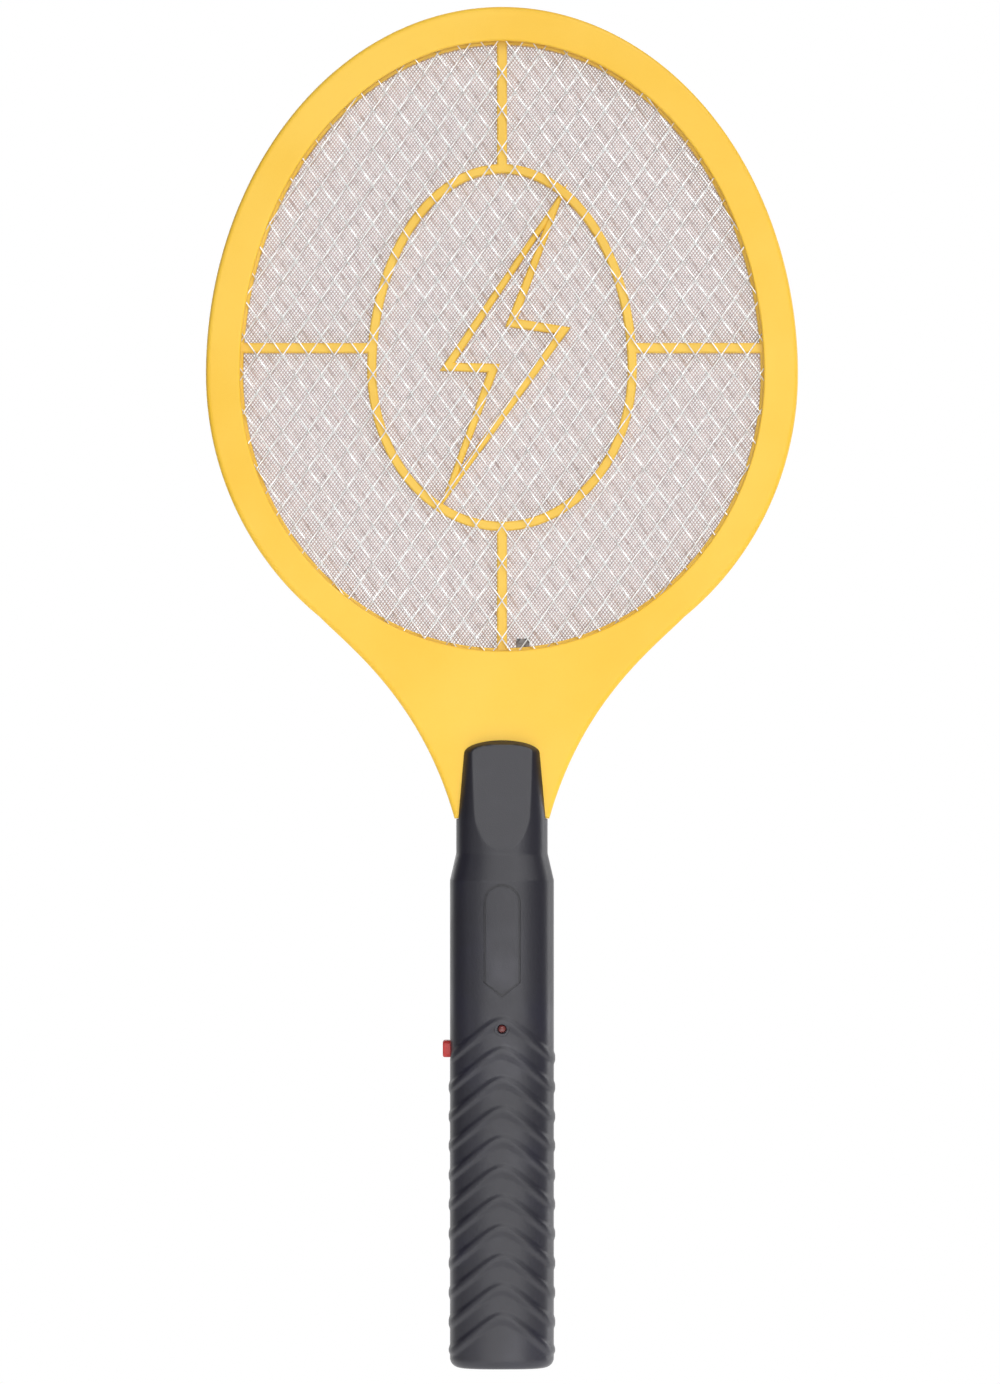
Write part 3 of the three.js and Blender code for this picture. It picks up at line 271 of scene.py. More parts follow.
# %% Yellow plastics
YELLOW_LIGHT = rgb(255, 208, 74)
YELLOW_DEEP = rgb(251, 199, 54)
YELLOW_RIB = rgb(250, 206, 84)
YELLOW_RIB_DEEP = rgb(242, 194, 70)


def satin_yellow(name, light, deep):
    finish = Finish(name)
    clouds = finish.noise(0.016, 3.0)
    grain = finish.noise(2.2, 4.0, 0.65)
    polish = finish.noise(0.05, 4.0)
    speck = finish.cells(1.1)
    tint = finish.step(clouds * 0.8 + grain * 0.2, 0.32, 0.68)
    return finish.shade(
        Base_Color=finish.mix(tint, deep, light),
        Roughness=0.36 + polish * 0.12 + grain * 0.08,
        Normal=finish.relief(grain * 0.7 + speck * 0.3, 0.03, 0.35),
        Specular_IOR_Level=0.45,
    )


yellow_moulding = satin_yellow("yellow_moulding", YELLOW_LIGHT, YELLOW_DEEP)
yellow_rib = satin_yellow("yellow_rib", YELLOW_RIB, YELLOW_RIB_DEEP)
print("made", yellow_moulding.name, "and", yellow_rib.name)

# %% [markdown]
# ## Charcoal moulding
# The handle's mould is spark-eroded, which gives the plastic a fine, even pebble that spreads
# the light into a broad soft sheen. A cell pattern gives the pebbles, and a second, larger
# pattern makes the sheen a little uneven, as hands do.

# %% Charcoal plastic
CHARCOAL = rgb(23, 22, 33)
CHARCOAL_WORN = rgb(32, 31, 45)


def charcoal(name, grain_depth):
    finish = Finish(name)
    pebble = finish.cells(2.6)
    grain = finish.noise(3.2, 3.0, 0.6)
    hands = finish.noise(0.045, 4.0, 0.55)
    worn = finish.step(hands, 0.45, 0.72)
    return finish.shade(
        Base_Color=finish.mix(worn * 0.7 + grain * 0.3, CHARCOAL, CHARCOAL_WORN),
        Roughness=0.40 - worn * 0.06 + grain * 0.06,
        Normal=finish.relief(pebble * 0.6 + grain * 0.4, grain_depth, 0.5),
        Specular_IOR_Level=0.68,
    )


charcoal_plastic = charcoal("charcoal_plastic", 0.05)
print("made", charcoal_plastic.name)

# %% [markdown]
# ## Net metals
# The outer nets are tinned sheet, slit and pulled open, so their strands are bright with small
# dull spots. The centre net is a woven screen of warm grey wire, its colour also darkened as
# painted shade from lying between the other nets. Both are metals, but a rough one spreads its
# reflection, and that keeps thin wires from sparkling.

# %% Bright net metal, and grey net metal darkened with painted shade
def net_metal(name, bright, dull, rough):
    finish = Finish(name)
    spots = finish.noise(0.35, 5.0, 0.65)
    drawn = finish.noise(3.0, 2.0)
    stain = finish.step(spots, 0.42, 0.7)
    return finish.shade(
        Base_Color=finish.mix(stain, bright, dull),
        Metallic=0.9 - stain * 0.25,
        Roughness=rough + stain * 0.15 + drawn * 0.08,
        Normal=finish.relief(drawn, 0.02, 0.4),
    )


bright_net = net_metal("bright_net", rgb(250, 250, 249), rgb(226, 224, 222), 0.34)
# The centre net's base colours are its wire's warm grey, darkened further as painted shade from
# lying between the other nets.
grey_net_with_painted_shade = net_metal("grey_net_with_painted_shade", rgb(222, 204, 202), rgb(198, 178, 177), 0.5)
print("made", bright_net.name, "and", grey_net_with_painted_shade.name)

# %% [markdown]
# ## Small hardware
# Screws, springs and contacts are nickel-plated or brass. Plating shows faint rings from the
# forming tools and a haze of dulling, so both share one recipe with different colours.

# %% Plated steel and brass
def plated(name, clean, dull, rough):
    finish = Finish(name)
    haze = finish.noise(0.9, 4.0, 0.6)
    scratch = finish.noise(6.0, 2.0)
    dulled = finish.step(haze, 0.4, 0.75)
    return finish.shade(
        Base_Color=finish.mix(dulled, clean, dull),
        Metallic=1.0,
        Roughness=rough + dulled * 0.18 + scratch * 0.06,
        Normal=finish.relief(scratch, 0.01, 0.4),
    )


plated_steel = plated("plated_steel", rgb(205, 206, 208), rgb(150, 148, 146), 0.24)
dark_terminal = plated("dark_terminal", rgb(120, 116, 114), rgb(70, 64, 62), 0.4)
brass = plated("brass", rgb(224, 190, 112), rgb(168, 132, 70), 0.26)
print("made", plated_steel.name, dark_terminal.name, brass.name)

# %% [markdown]
# ## Mouldings and coatings inside
# The other parts are plastics, lacquers and ceramics. They share one recipe too: two tones in
# clouds, a grain of its own size, and a gloss. A clear lacquer is a coat over the colour.

# %% One recipe for coated and moulded parts
def coated(name, light, deep, rough, grain=2.0, depth=0.03, coat=0.0):
    finish = Finish(name)
    clouds = finish.noise(0.25, 3.0)
    fine = finish.noise(grain, 3.0, 0.6)
    tone = finish.step(clouds * 0.6 + fine * 0.4, 0.35, 0.65)
    return finish.shade(
        Base_Color=finish.mix(tone, deep, light),
        Roughness=rough + fine * 0.12,
        Normal=finish.relief(fine, depth, 0.5),
        Coat_Weight=coat,
        Coat_Roughness=0.12,
    )


red_plastic = coated("red_plastic", rgb(204, 56, 52), rgb(182, 38, 38), 0.34, 2.4, 0.02)
lamp_resin = coated("lamp_resin", rgb(122, 62, 60), rgb(94, 44, 46), 0.2, 1.2, 0.01, 0.6)
component_black = coated("component_black", rgb(44, 44, 46), rgb(28, 28, 30), 0.5)
ferrite = coated("ferrite", rgb(74, 72, 72), rgb(52, 50, 52), 0.62, 3.5, 0.06)
film_capacitor = coated("film_capacitor", rgb(120, 62, 34), rgb(96, 44, 26), 0.2, 0.9, 0.05, 0.8)
ceramic_blue = coated("ceramic_blue", rgb(60, 110, 176), rgb(44, 86, 150), 0.24, 0.9, 0.05, 0.6)
tray_grey = coated("tray_grey", rgb(96, 97, 100), rgb(80, 81, 84), 0.45)
wire_red = coated("wire_red", rgb(186, 36, 34), rgb(158, 24, 26), 0.36, 1.6, 0.03)
wire_black = coated("wire_black", rgb(40, 40, 42), rgb(26, 26, 28), 0.36, 1.6, 0.03)
print("made nine coated and moulded finishes")

# %% [markdown]
# ## Coloured rings
# Some parts are told apart by a pattern, such as the colour rings on resistors and the pale ring
# on a diode. A ring is a comparison on the place along the part, and the part's own box gives
# that place. No lettering is drawn on any part.

# %% Ringed parts
RING_HALF_SHARE = 0.035


def ringed(name, part, body, rings):
    """A resistor or diode: its axis is Z, and each ring is (share of its length, colour)."""
    low, high = box_mm(part)
    finish = Finish(name)
    share = (finish.z - float(low[2])) / float(high[2] - low[2])
    gloss = finish.noise(1.5, 3.0)
    colour = finish.mix(gloss, body, tuple(0.8 * c for c in body[:3]) + (1.0,))
    for place, ring in rings:
        colour = finish.mix(abs(share - place) < RING_HALF_SHARE, colour, ring)
    return finish.shade(
        Base_Color=colour,
        Roughness=0.28 + gloss * 0.12,
        Normal=finish.relief(gloss, 0.03, 0.4),
        Coat_Weight=0.3,
    )


RINGS = [(0.32, rgb(110, 62, 30)), (0.43, rgb(28, 26, 26)), (0.54, rgb(200, 96, 30))]
resistor_tan = {
    name: ringed("tan_" + name, name, rgb(205, 176, 128), RINGS)
    for name in ("resistor_1", "resistor_2", "resistor_3")
}
DIODE_RING = [(0.62, rgb(214, 212, 206))]
diode_black = {
    name: ringed("black_" + name, name, rgb(40, 38, 38), DIODE_RING)
    for name in ("diode_1", "diode_2", "diode_3")
}
print("ringed", len(resistor_tan) + len(diode_black), "axial parts")

# %% [markdown]
# ## Tape and board
# The transformer is wound with yellow tape, whose laps repeat every few millimetres. The board
# is brown laminate with copper tracks under a lacquer. Both patterns repeat along one axis, so
# a remainder makes them: the place along the part, counted again from nought at each pitch.

# %% Winding tape and board laminate
TAPE_PITCH = 2.4
TRACK_PITCH = 3.6

tape_finish = Finish("winding_tape")
lap = tape_finish.z.repeated(TAPE_PITCH)
fold = tape_finish.noise(0.8, 4.0)
lap_edge = tape_finish.step(lap, 0.0, 0.35)
winding_tape = tape_finish.shade(
    Base_Color=tape_finish.mix(lap_edge, rgb(150, 110, 30), rgb(216, 172, 58)),
    Roughness=0.3 + fold * 0.15,
    Normal=tape_finish.relief(lap_edge + fold * 0.4, 0.08, 0.7),
    Coat_Weight=0.3,
)

board_finish = Finish("board_laminate")
weave = board_finish.noise(1.8, 3.0)
lanes = abs(board_finish.x.repeated(TRACK_PITCH) - TRACK_PITCH / 2)
wander = board_finish.noise(0.09, 1.0)
track = board_finish.step(lanes + wander * 1.6, 1.5, 1.35)
laminate = board_finish.mix(weave, rgb(150, 112, 62), rgb(168, 128, 74))
board_laminate = board_finish.shade(
    Base_Color=board_finish.mix(track, laminate, rgb(108, 92, 44)),
    Roughness=0.42 + weave * 0.1,
    Normal=board_finish.relief(track + weave * 0.2, 0.05, 0.6),
)
print("made", winding_tape.name, "and", board_laminate.name)

# %% [markdown]
# ## Cell sleeves
# Each cell wears a printed sleeve with bare metal at its ends. Where along the cell a point lies,
# as a share of its length, is enough to tell sleeve, band and metal apart.

# %% Cell sleeves
def cell_sleeve(name, part):
    """A cell's printed sleeve: dark, with a coppery band round its upper third."""
    low, high = box_mm(part)
    finish = Finish(name)
    share = (finish.z - float(low[2])) / float(high[2] - low[2])
    metal = (share > 0.965) + (share < 0.02)
    band = (share > 0.66) * (share < 0.96)
    fine = finish.noise(0.8, 3.0)
    sleeve = finish.mix(band, rgb(34, 36, 42), rgb(190, 116, 58))
    return finish.shade(
        Base_Color=finish.mix(metal, sleeve, rgb(206, 206, 204)),
        Metallic=metal * 0.9 + band * 0.5,
        Roughness=0.24 + fine * 0.14,
        Normal=finish.relief(fine, 0.02, 0.3),
        Coat_Weight=0.4,
    )


cell_sleeves = {
    part: cell_sleeve("sleeve_" + part, part)
    for part in ("battery_cell_left", "battery_cell_right")
}
print("made", len(cell_sleeves), "sleeves")

# %% [markdown]
# ## Solids from loops
# Most moulded pieces are one outline repeated: a rim is its outline moved inwards and back, and
# a handle is one section at many heights. So the first helper skins a row of loops with quads,
# and either joins the last loop to the first, as round a ring, or caps both ends.

# %% Skinning loops
def skin(name, loops, ring=False):
    """A closed solid through loops of equal length, given in millimetres."""
    loops = np.asarray(loops, float)
    rows, count = loops.shape[:2]
    index = np.arange(rows * count).reshape(rows, count)
    below = index if ring else index[:-1]
    over = np.roll(index, -1, axis=0) if ring else index[1:]
    quads = np.stack([below, np.roll(below, -1, 1), np.roll(over, -1, 1), over], -1)
    faces = quads.reshape(-1, 4).tolist()
    if not ring:
        faces += [index[0, ::-1].tolist(), index[-1].tolist()]
    mesh = bpy.data.meshes.new(name)
    mesh.from_pydata((loops.reshape(-1, 3) * MM).tolist(), [], faces)
    facing_out(mesh)
    made = bpy.data.objects.new(name, mesh)
    scene.collection.objects.link(made)
    return made


def facing_out(mesh):
    """Turns every face outwards, by the sign of the solid's volume."""
    mesh.calc_loop_triangles()
    corners = np.zeros(len(mesh.vertices) * 3)
    mesh.vertices.foreach_get("co", corners)
    thirds = np.zeros(len(mesh.loop_triangles) * 3, int)
    mesh.loop_triangles.foreach_get("vertices", thirds)
    a, b, c = corners.reshape(-1, 3)[thirds.reshape(-1, 3)].transpose(1, 0, 2)
    if np.einsum("ij,ij->i", a, np.cross(b, c)).sum() < 0:
        mesh.flip_normals()


print("skin ready")

# %% [markdown]
# ## Outlines, plates and turned parts
# An outline lies in the plane of the head, as x and z. Moving it inwards corner by corner gives
# chamfers and walls of even width. A plate is an outline with thickness, a band is what lies
# between two outlines, and a turned part is a circle at many stations along an axis.

# %% Outline tools
def inset(loop, distance):
    """The closed outline moved inwards. It runs counter-clockwise, seen from the front."""
    normals = []
    for edge in (loop - np.roll(loop, 1, axis=0), np.roll(loop, -1, axis=0) - loop):
        edge = edge / np.linalg.norm(edge, axis=1, keepdims=True)
        normals.append(np.column_stack([-edge[:, 1], edge[:, 0]]))
    total = normals[0] + normals[1]
    return loop + 2 * distance * total / np.sum(total * total, axis=1, keepdims=True)


def at_depth(loop, y):
    """The outline as points of space, at depth y."""
    return np.column_stack([loop[:, 0], np.full(len(loop), float(y)), loop[:, 1]])


def plate(name, outline, front, back, edge=0.0):
    """An outline with thickness, and its front and back edges chamfered."""
    outline = np.asarray(outline, float)
    if not edge:
        return skin(name, [at_depth(outline, front), at_depth(outline, back)])
    small = inset(outline, edge)
    loops = [(small, front), (outline, front + edge), (outline, back - edge), (small, back)]
    return skin(name, [at_depth(loop, y) for loop, y in loops])


def band(name, outer, inner, front, back, edge):
    """What lies between two outlines, with its four long edges chamfered."""
    pairs = [
        (inset(outer, edge), front),
        (outer, front + edge),
        (outer, back - edge),
        (inset(outer, edge), back),
        (inset(inner, -edge), back),
        (inner, back - edge),
        (inner, front + edge),
        (inset(inner, -edge), front),
    ]
    return skin(name, [at_depth(loop, y) for loop, y in pairs], ring=True)


def block(name, low, high):
    """A plain box, used only to cut with."""
    (x0, y0, z0), (x1, y1, z1) = low, high
    return plate(name, [(x0, z0), (x1, z0), (x1, z1), (x0, z1)], y0, y1)


def turned(name, stations, centre, axis="y", sides=48):
    """A turned part: (place along the axis, radius) pairs, round a centre in the other two."""
    turn = np.linspace(0, 2 * math.pi, sides, endpoint=False)
    loops = []
    for place, radius in stations:
        across = centre[0] + radius * np.cos(turn)
        up = centre[1] + radius * np.sin(turn)
        along = np.full(sides, float(place))
        order = {"x": (along, across, up), "y": (across, along, up), "z": (across, up, along)}
        loops.append(np.column_stack(order[axis]))
    return skin(name, loops)


print("outline tools ready")

# %% [markdown]
# ## Joining and cutting
# Holes, grooves and split lines are cut with Boolean modifiers, as a mould maker sinks them into
# a block. The Manifold solver is quick and gives closed solids from closed solids. Each result
# is kept as a plain mesh, so no modifier has to be worked out again later.

# %% Boolean helpers
def combine(how, first, others):
    """Joins (UNION), cuts (DIFFERENCE) or keeps the shared part (INTERSECT) of solids."""
    for other in others:
        modifier = first.modifiers.new(how, "BOOLEAN")
        modifier.operation = how
        modifier.solver = "MANIFOLD"
        modifier.object = other
    graph = bpy.context.evaluated_depsgraph_get()
    result = bpy.data.meshes.new_from_object(first.evaluated_get(graph))
    first.modifiers.clear()
    spent, first.data = first.data, result
    bpy.data.meshes.remove(spent)
    for other in others:
        bpy.data.meshes.remove(other.data)
    if not len(result.polygons):
        raise ValueError(f"{first.name}: {how} left nothing")
    return first


def joined(first, *others):
    return combine("UNION", first, others)


def cut(first, *others):
    return combine("DIFFERENCE", first, others)


def shared(first, other):
    return combine("INTERSECT", first, [other])


def copy_of(solid, name):
    twin = bpy.data.objects.new(name, solid.data.copy())
    scene.collection.objects.link(twin)
    return twin


print("joined, cut, shared and copy_of ready")

# %% [markdown]
# ## Handing a piece over
# A finished solid still needs four things: smooth shading with crisp edges where faces meet at
# an angle, its material, the body of the frame that it moves with, and the part of the frame
# that it stands for. One helper does all of them, so no piece is left half done.

# %% Hand-over helper
CRISP = math.radians(34)


def hand_over(solid, name, finish, body="racket", stands_for=(), crisp=CRISP):
    solid.name = name
    solid.data.name = name
    solid.data.materials.clear()
    solid.data.materials.append(finish)
    solid.data.shade_smooth()
    solid.data.set_sharp_from_angle(angle=crisp)
    weighted = solid.modifiers.new("even_normals", "WEIGHTED_NORMAL")
    weighted.keep_sharp = True
    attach(solid, body)
    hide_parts(*(stands_for or (name,)))
    solid.data.calc_loop_triangles()
    print(name, "has", len(solid.data.loop_triangles), "triangles")
    return solid


print("hand_over ready")

# %% [markdown]
# ## The head's outline
# The window is two half ellipses on one width, taller above than below. The rim follows it
# outside, leaves it low down on either side, and sweeps into the neck on a curve. Below the
# collar a narrow tang goes on into the handle, where it is screwed.

# %% Window and rim outlines
RIM_WIDTH = 12.3
RIM_FOOT = 11.3
WINDOW_UPPER = 120.1
WINDOW_LOWER = 99.7
NECK_ANGLE = math.radians(52)
NECK_TOP_CONTROL = (55.0, 259.5)
NECK_FOOT_CONTROL = (29.05, 240.5)
NECK_FOOT = (17.1, 197.8)
TANG_HALF_WIDTH = 12.5

head_half = float(rim_high[0])
frame_half = -float(rim_low[1])
tang_foot = float(rim_low[2])
window_half = head_half - RIM_WIDTH
head_z = float(rim_high[2]) - RIM_WIDTH - WINDOW_UPPER


def ovals(half_width, upper, lower, angles):
    """Points on two half ellipses that share their width."""
    height = np.where(np.sin(angles) > 0, upper, lower)
    return np.column_stack([half_width * np.cos(angles), head_z + height * np.sin(angles)])


def curve(points, steps):
    """A Bezier curve through four points, without its last point."""
    t = np.linspace(0, 1, steps, endpoint=False)[:, None]
    a, b, c, d = (np.array(p, float) for p in points)
    return (1 - t) ** 3 * a + 3 * (1 - t) ** 2 * t * b + 3 * (1 - t) * t**2 * c + t**3 * d


def straight(start, end, steps):
    t = np.linspace(0, 1, steps, endpoint=False)[:, None]
    return (1 - t) * np.array(start, float) + t * np.array(end, float)


def rim_outline():
    """The rim, neck and tang, counter-clockwise from the middle of the tang's foot."""
    lower = WINDOW_LOWER + RIM_FOOT
    upper = WINDOW_UPPER + RIM_WIDTH
    shoulder = NECK_FOOT[1]
    start = ovals(head_half, upper, lower, np.array([-NECK_ANGLE]))[0]
    right = [
        straight((0, tang_foot), (TANG_HALF_WIDTH, tang_foot), 6),
        straight((TANG_HALF_WIDTH, tang_foot), (TANG_HALF_WIDTH, shoulder), 12),
        straight((TANG_HALF_WIDTH, shoulder), NECK_FOOT, 3),
        curve([NECK_FOOT, NECK_FOOT_CONTROL, NECK_TOP_CONTROL, start], 70),
        ovals(head_half, upper, lower, np.linspace(-NECK_ANGLE, math.pi / 2, 190)),
    ]
    right = np.concatenate(right)
    return np.concatenate([right, right[-2:0:-1] * (-1, 1)])


rim = rim_outline()
print("rim outline has", len(rim), "points; the window's centre is at z", round(head_z, 2))

# %% [markdown]
# ## Pairing the rim with its window
# To skin the rim with clean quads, each point of its outside needs a partner on the window. The
# partner is the window's point in the same direction from the head's centre. Down the neck many
# outside points share a small stretch of window, which is harmless on a flat face.

# %% Window points in the rim's directions
def window_towards(outline, grow=0.0):
    """The window's edge, grown outwards, in the direction of each point of an outline."""
    rise = outline - (0, head_z)
    turn = np.arctan2(rise[:, 1], rise[:, 0])
    height = np.where(rise[:, 1] > 0, WINDOW_UPPER, WINDOW_LOWER) + grow
    half = window_half + grow
    reach = 1 / np.hypot(np.cos(turn) / half, np.sin(turn) / height)
    return np.column_stack([reach * np.cos(turn), head_z + reach * np.sin(turn)])


window = window_towards(rim)
print("window is", round(2 * window_half, 1), "mm wide inside")

# %% [markdown]
# ## The two frame halves
# The head is two mouldings, front and back, that meet at a fine line round the edge. Each has a
# rounded outer edge, a flat face, a small lip at the window, and a wall about two millimetres
# thick. The loops below are that wall's section, walked once round, from the parting line over
# the face and the lip, and back inside. At the parting line the rear wall has a thin tongue that
# runs in a step of the front wall, as moulded shells do, so no light shows through the line.

# %% Frame halves
PARTING = 0.15
WALL = 2.0
EDGE_DEPTH = 3.0
OUTER_ROUND = 1.5
LIP_ROUND = 0.7
LIP_BACK = 0.3
FACE_MARGIN = 0.5
ROUND_STEPS = 5
TONGUE = 0.9
TONGUE_REACH = 0.6
STEP_ROOM = 0.15
net_face = frame_half - WALL
quarter = np.linspace(0, math.pi / 2, ROUND_STEPS)


def frame_half_solid(name, side):
    """side is -1 for the front half and 1 for the rear one."""
    walk = [(inset(rim, 0.0), PARTING), (inset(rim, 0.0), EDGE_DEPTH)]
    for turn in quarter:
        inwards = OUTER_ROUND * (1 - math.cos(turn))
        depth = frame_half - OUTER_ROUND * (1 - math.sin(turn))
        walk.append((inset(rim, inwards), depth))
    walk.append((inset(rim, OUTER_ROUND + FACE_MARGIN), frame_half))
    walk.append((window_towards(rim, LIP_ROUND + FACE_MARGIN), frame_half))
    for turn in quarter[::-1]:
        grow = LIP_ROUND * (1 - math.cos(turn))
        depth = frame_half - LIP_ROUND * (1 - math.sin(turn))
        walk.append((window_towards(rim, grow), depth))
    walk.append((window, net_face + LIP_BACK))
    walk.append((window_towards(rim, LIP_BACK), net_face))
    walk.append((inset(rim, WALL), net_face))
    end = -TONGUE_REACH if side > 0 else TONGUE_REACH + 2 * STEP_ROOM
    edge = WALL - TONGUE - (0 if side > 0 else STEP_ROOM)
    walk += [(inset(rim, WALL), end), (inset(rim, edge), end), (inset(rim, edge), PARTING)]
    return skin(name, [at_depth(loop, side * y) for loop, y in walk], ring=True)


front_frame = frame_half_solid("front_frame", -1)
rear_frame = frame_half_solid("rear_frame", 1)
print("skinned both frame halves")

# %% [markdown]
# ## Screws in the frame
# Two screws under the window pull the halves together from behind, in sunk seats, and two posts
# of the handle pass through the tang. A boss in front takes each screw's thread and a sleeve
# behind holds its head. The seats are flared at the mouth, because a moulded hole is never
# razor sharp.

# %% Bosses, seats and post holes
SCREW_SEAT_DEPTH = 1.5
SCREW_SEAT_RADIUS = 2.5
BOSS_RADIUS = 3.2
SLEEVE_RADIUS = 3.6
THREAD_HOLE = 1.3
SCREW_HOLE = 1.5
FLARE_START = 0.4
FLARE = (3.0, 3.4)
POST_ROOM = 3.3
post_heights = (206.0, 176.0)
screw_low, screw_high = box_mm("frame_screw_right")
screw_place = ((screw_low[0] + screw_high[0]) / 2, (screw_low[2] + screw_high[2]) / 2)
seat = frame_half - SCREW_SEAT_DEPTH
beyond = frame_half + 2


def sunk_seat(centre, floor, mouth, radius):
    """A cutter for a screw's seat, flared at the mouth."""
    stations = [(floor, radius), (mouth - FLARE_START, radius),
                (mouth + FLARE[0], radius + FLARE[1])]
    return turned("seat", stations, centre)


for side in (-1, 1):
    place = (side * screw_place[0], screw_place[1])
    boss = turned("boss", [(-net_face - 0.5, BOSS_RADIUS), (seat - 1.4, BOSS_RADIUS)], place)
    bore = turned("bore", [(-net_face + 1, THREAD_HOLE), (beyond, THREAD_HOLE)], place)
    front_frame = cut(joined(front_frame, boss), bore)
    sleeve_ends = [(seat - 1.2, SLEEVE_RADIUS), (frame_half - 0.4, SLEEVE_RADIUS)]
    bore = turned("bore", [(0, SCREW_HOLE), (beyond, SCREW_HOLE)], place)
    rear_frame = cut(joined(rear_frame, turned("sleeve", sleeve_ends, place)), bore,
                     sunk_seat(place, seat, frame_half, SCREW_SEAT_RADIUS))

for z in post_heights:
    for half in (front_frame, rear_frame):
        cut(half, turned("post", [(-beyond, POST_ROOM), (beyond, POST_ROOM)], (0, z)))

hand_over(front_frame, "front_frame_moulding", yellow_moulding,
          stands_for=["front_frame"])
hand_over(rear_frame, "rear_frame_moulding", yellow_moulding,
          stands_for=["rear_frame"])

# %% [markdown]
# ## The ribbed spacers
# Between each outer net and the centre net lies a yellow spacer. It keeps them apart by three
# millimetres, so that a bare hand can't reach the charged net. Its ribs draw a cross, an oval
# and a lightning shape inside it. Each shape is a band or a plate, and they are joined into one.

# %% Spacer shapes
RIB_WIDTH = 3.6
RIB_EDGE = 0.5
OVAL_HALF_WIDTH = 47.0
OVAL_UPPER = 72.5
OVAL_LOWER = 56.5
OVAL_BAND = 3.3
BOLT_WIDTH = 3.3
BOLT_REACH = 2.6
SPACER_LIP = 1.0
SPACER_BORDER = 8.0
RIB_ROOT = 3.0
OVAL_RISE = 1.8
BAR_RISE = 9.6
BOLT_SHARES = [(0.479, 0.899), (-0.428, 0.012), (-0.066, 0.007), (-0.457, -0.85),
               (0.477, 0.196), (0.074, 0.234)]
oval_z = head_z + OVAL_RISE
bar_z = head_z + BAR_RISE


def oval_loop(grow, count=160):
    turn = np.linspace(0, 2 * math.pi, count, endpoint=False)
    height = np.where(np.sin(turn) > 0, OVAL_UPPER, OVAL_LOWER) + grow
    across = (OVAL_HALF_WIDTH + grow) * np.cos(turn)
    return np.column_stack([across, oval_z + height * np.sin(turn)])


def bolt_loop():
    """The lightning shape's centre line. Its corners are shares of the oval's half sizes."""
    corners = []
    for across, up in BOLT_SHARES:
        height = OVAL_UPPER if up > 0 else OVAL_LOWER
        corners.append((across * OVAL_HALF_WIDTH, oval_z + up * height))
    return np.array(corners)


def blunted(loop, centre_line, reach):
    """Pulls a sharp outer corner back, so that it stays within reach of the centre line."""
    away = loop - centre_line
    length = np.linalg.norm(away, axis=1, keepdims=True)
    return centre_line + away * np.minimum(1.0, reach / length)


def rib_plate(start, end, front, back):
    """A straight rib between two points of the head's plane."""
    start, end = np.array(start, float), np.array(end, float)
    along = (end - start) / np.linalg.norm(end - start)
    side = np.array([along[1], -along[0]]) * RIB_WIDTH / 2
    corners = [start + side, end + side, end - side, start - side]
    return plate("rib", corners, front, back, RIB_EDGE)


def window_ring(grow):
    """The window's outline, grown outwards, in even steps of angle."""
    turn = np.linspace(0, 2 * math.pi, 320, endpoint=False)
    return ovals(window_half + grow, WINDOW_UPPER + grow, WINDOW_LOWER + grow, turn)


def spacer(name, front, back):
    ring = band(name, window_ring(SPACER_BORDER), window_ring(-SPACER_LIP), front, back, RIB_EDGE)
    egg = band("egg", oval_loop(OVAL_BAND / 2), oval_loop(-OVAL_BAND / 2), front, back, RIB_EDGE)
    centre_line = bolt_loop()
    outer = blunted(inset(centre_line, -BOLT_WIDTH / 2), centre_line, BOLT_REACH)
    bolt = band("bolt", outer, inset(centre_line, BOLT_WIDTH / 2), front, back, RIB_EDGE)
    reach = window_half + RIB_ROOT
    top, foot = head_z + WINDOW_UPPER + RIB_ROOT, head_z - WINDOW_LOWER - RIB_ROOT
    ribs = [
        rib_plate((0, oval_z + OVAL_UPPER), (0, top), front, back),
        rib_plate((0, oval_z - OVAL_LOWER), (0, foot), front, back),
        rib_plate((-reach, bar_z), (-OVAL_HALF_WIDTH, bar_z), front, back),
        rib_plate((OVAL_HALF_WIDTH, bar_z), (reach, bar_z), front, back),
    ]
    return joined(ring, egg, bolt, *ribs)


for part in ("front_spacer", "rear_spacer"):
    low, high = box_mm(part)
    solid = spacer(part, float(low[1]), float(high[1]))
    hand_over(solid, part + "_moulding", yellow_rib, stands_for=[part])

# %% [markdown]
# ## The outer nets
# Each outer net is a sheet that was slit and pulled open, so it is a lattice of diamonds whose
# strands are twisted a little out of the plane. Every knot is a small quad and every strand is
# a quad between two knots, which gives a clean sheet. Tilting the knots' corners gives the
# twist, and a Solidify modifier gives the sheet its thickness.

# %% Diamond nets
DIAMOND_WIDTH = 9.3
DIAMOND_HEIGHT = 13.6
KNOT_HALF_WIDTH = 0.25
KNOT_HALF_HEIGHT = 0.37
TWIST = 0.04
STRAND_THICKNESS = 0.3
NET_REACH = 8.7
COLUMNS, ROWS = 24, 20


def in_window(points, grow):
    """Which points lie inside the window's outline, grown by grow."""
    height = np.where(points[:, 1] > head_z, WINDOW_UPPER, WINDOW_LOWER) + grow
    across = points[:, 0] / (window_half + grow)
    return across**2 + ((points[:, 1] - head_z) / height) ** 2 < 1


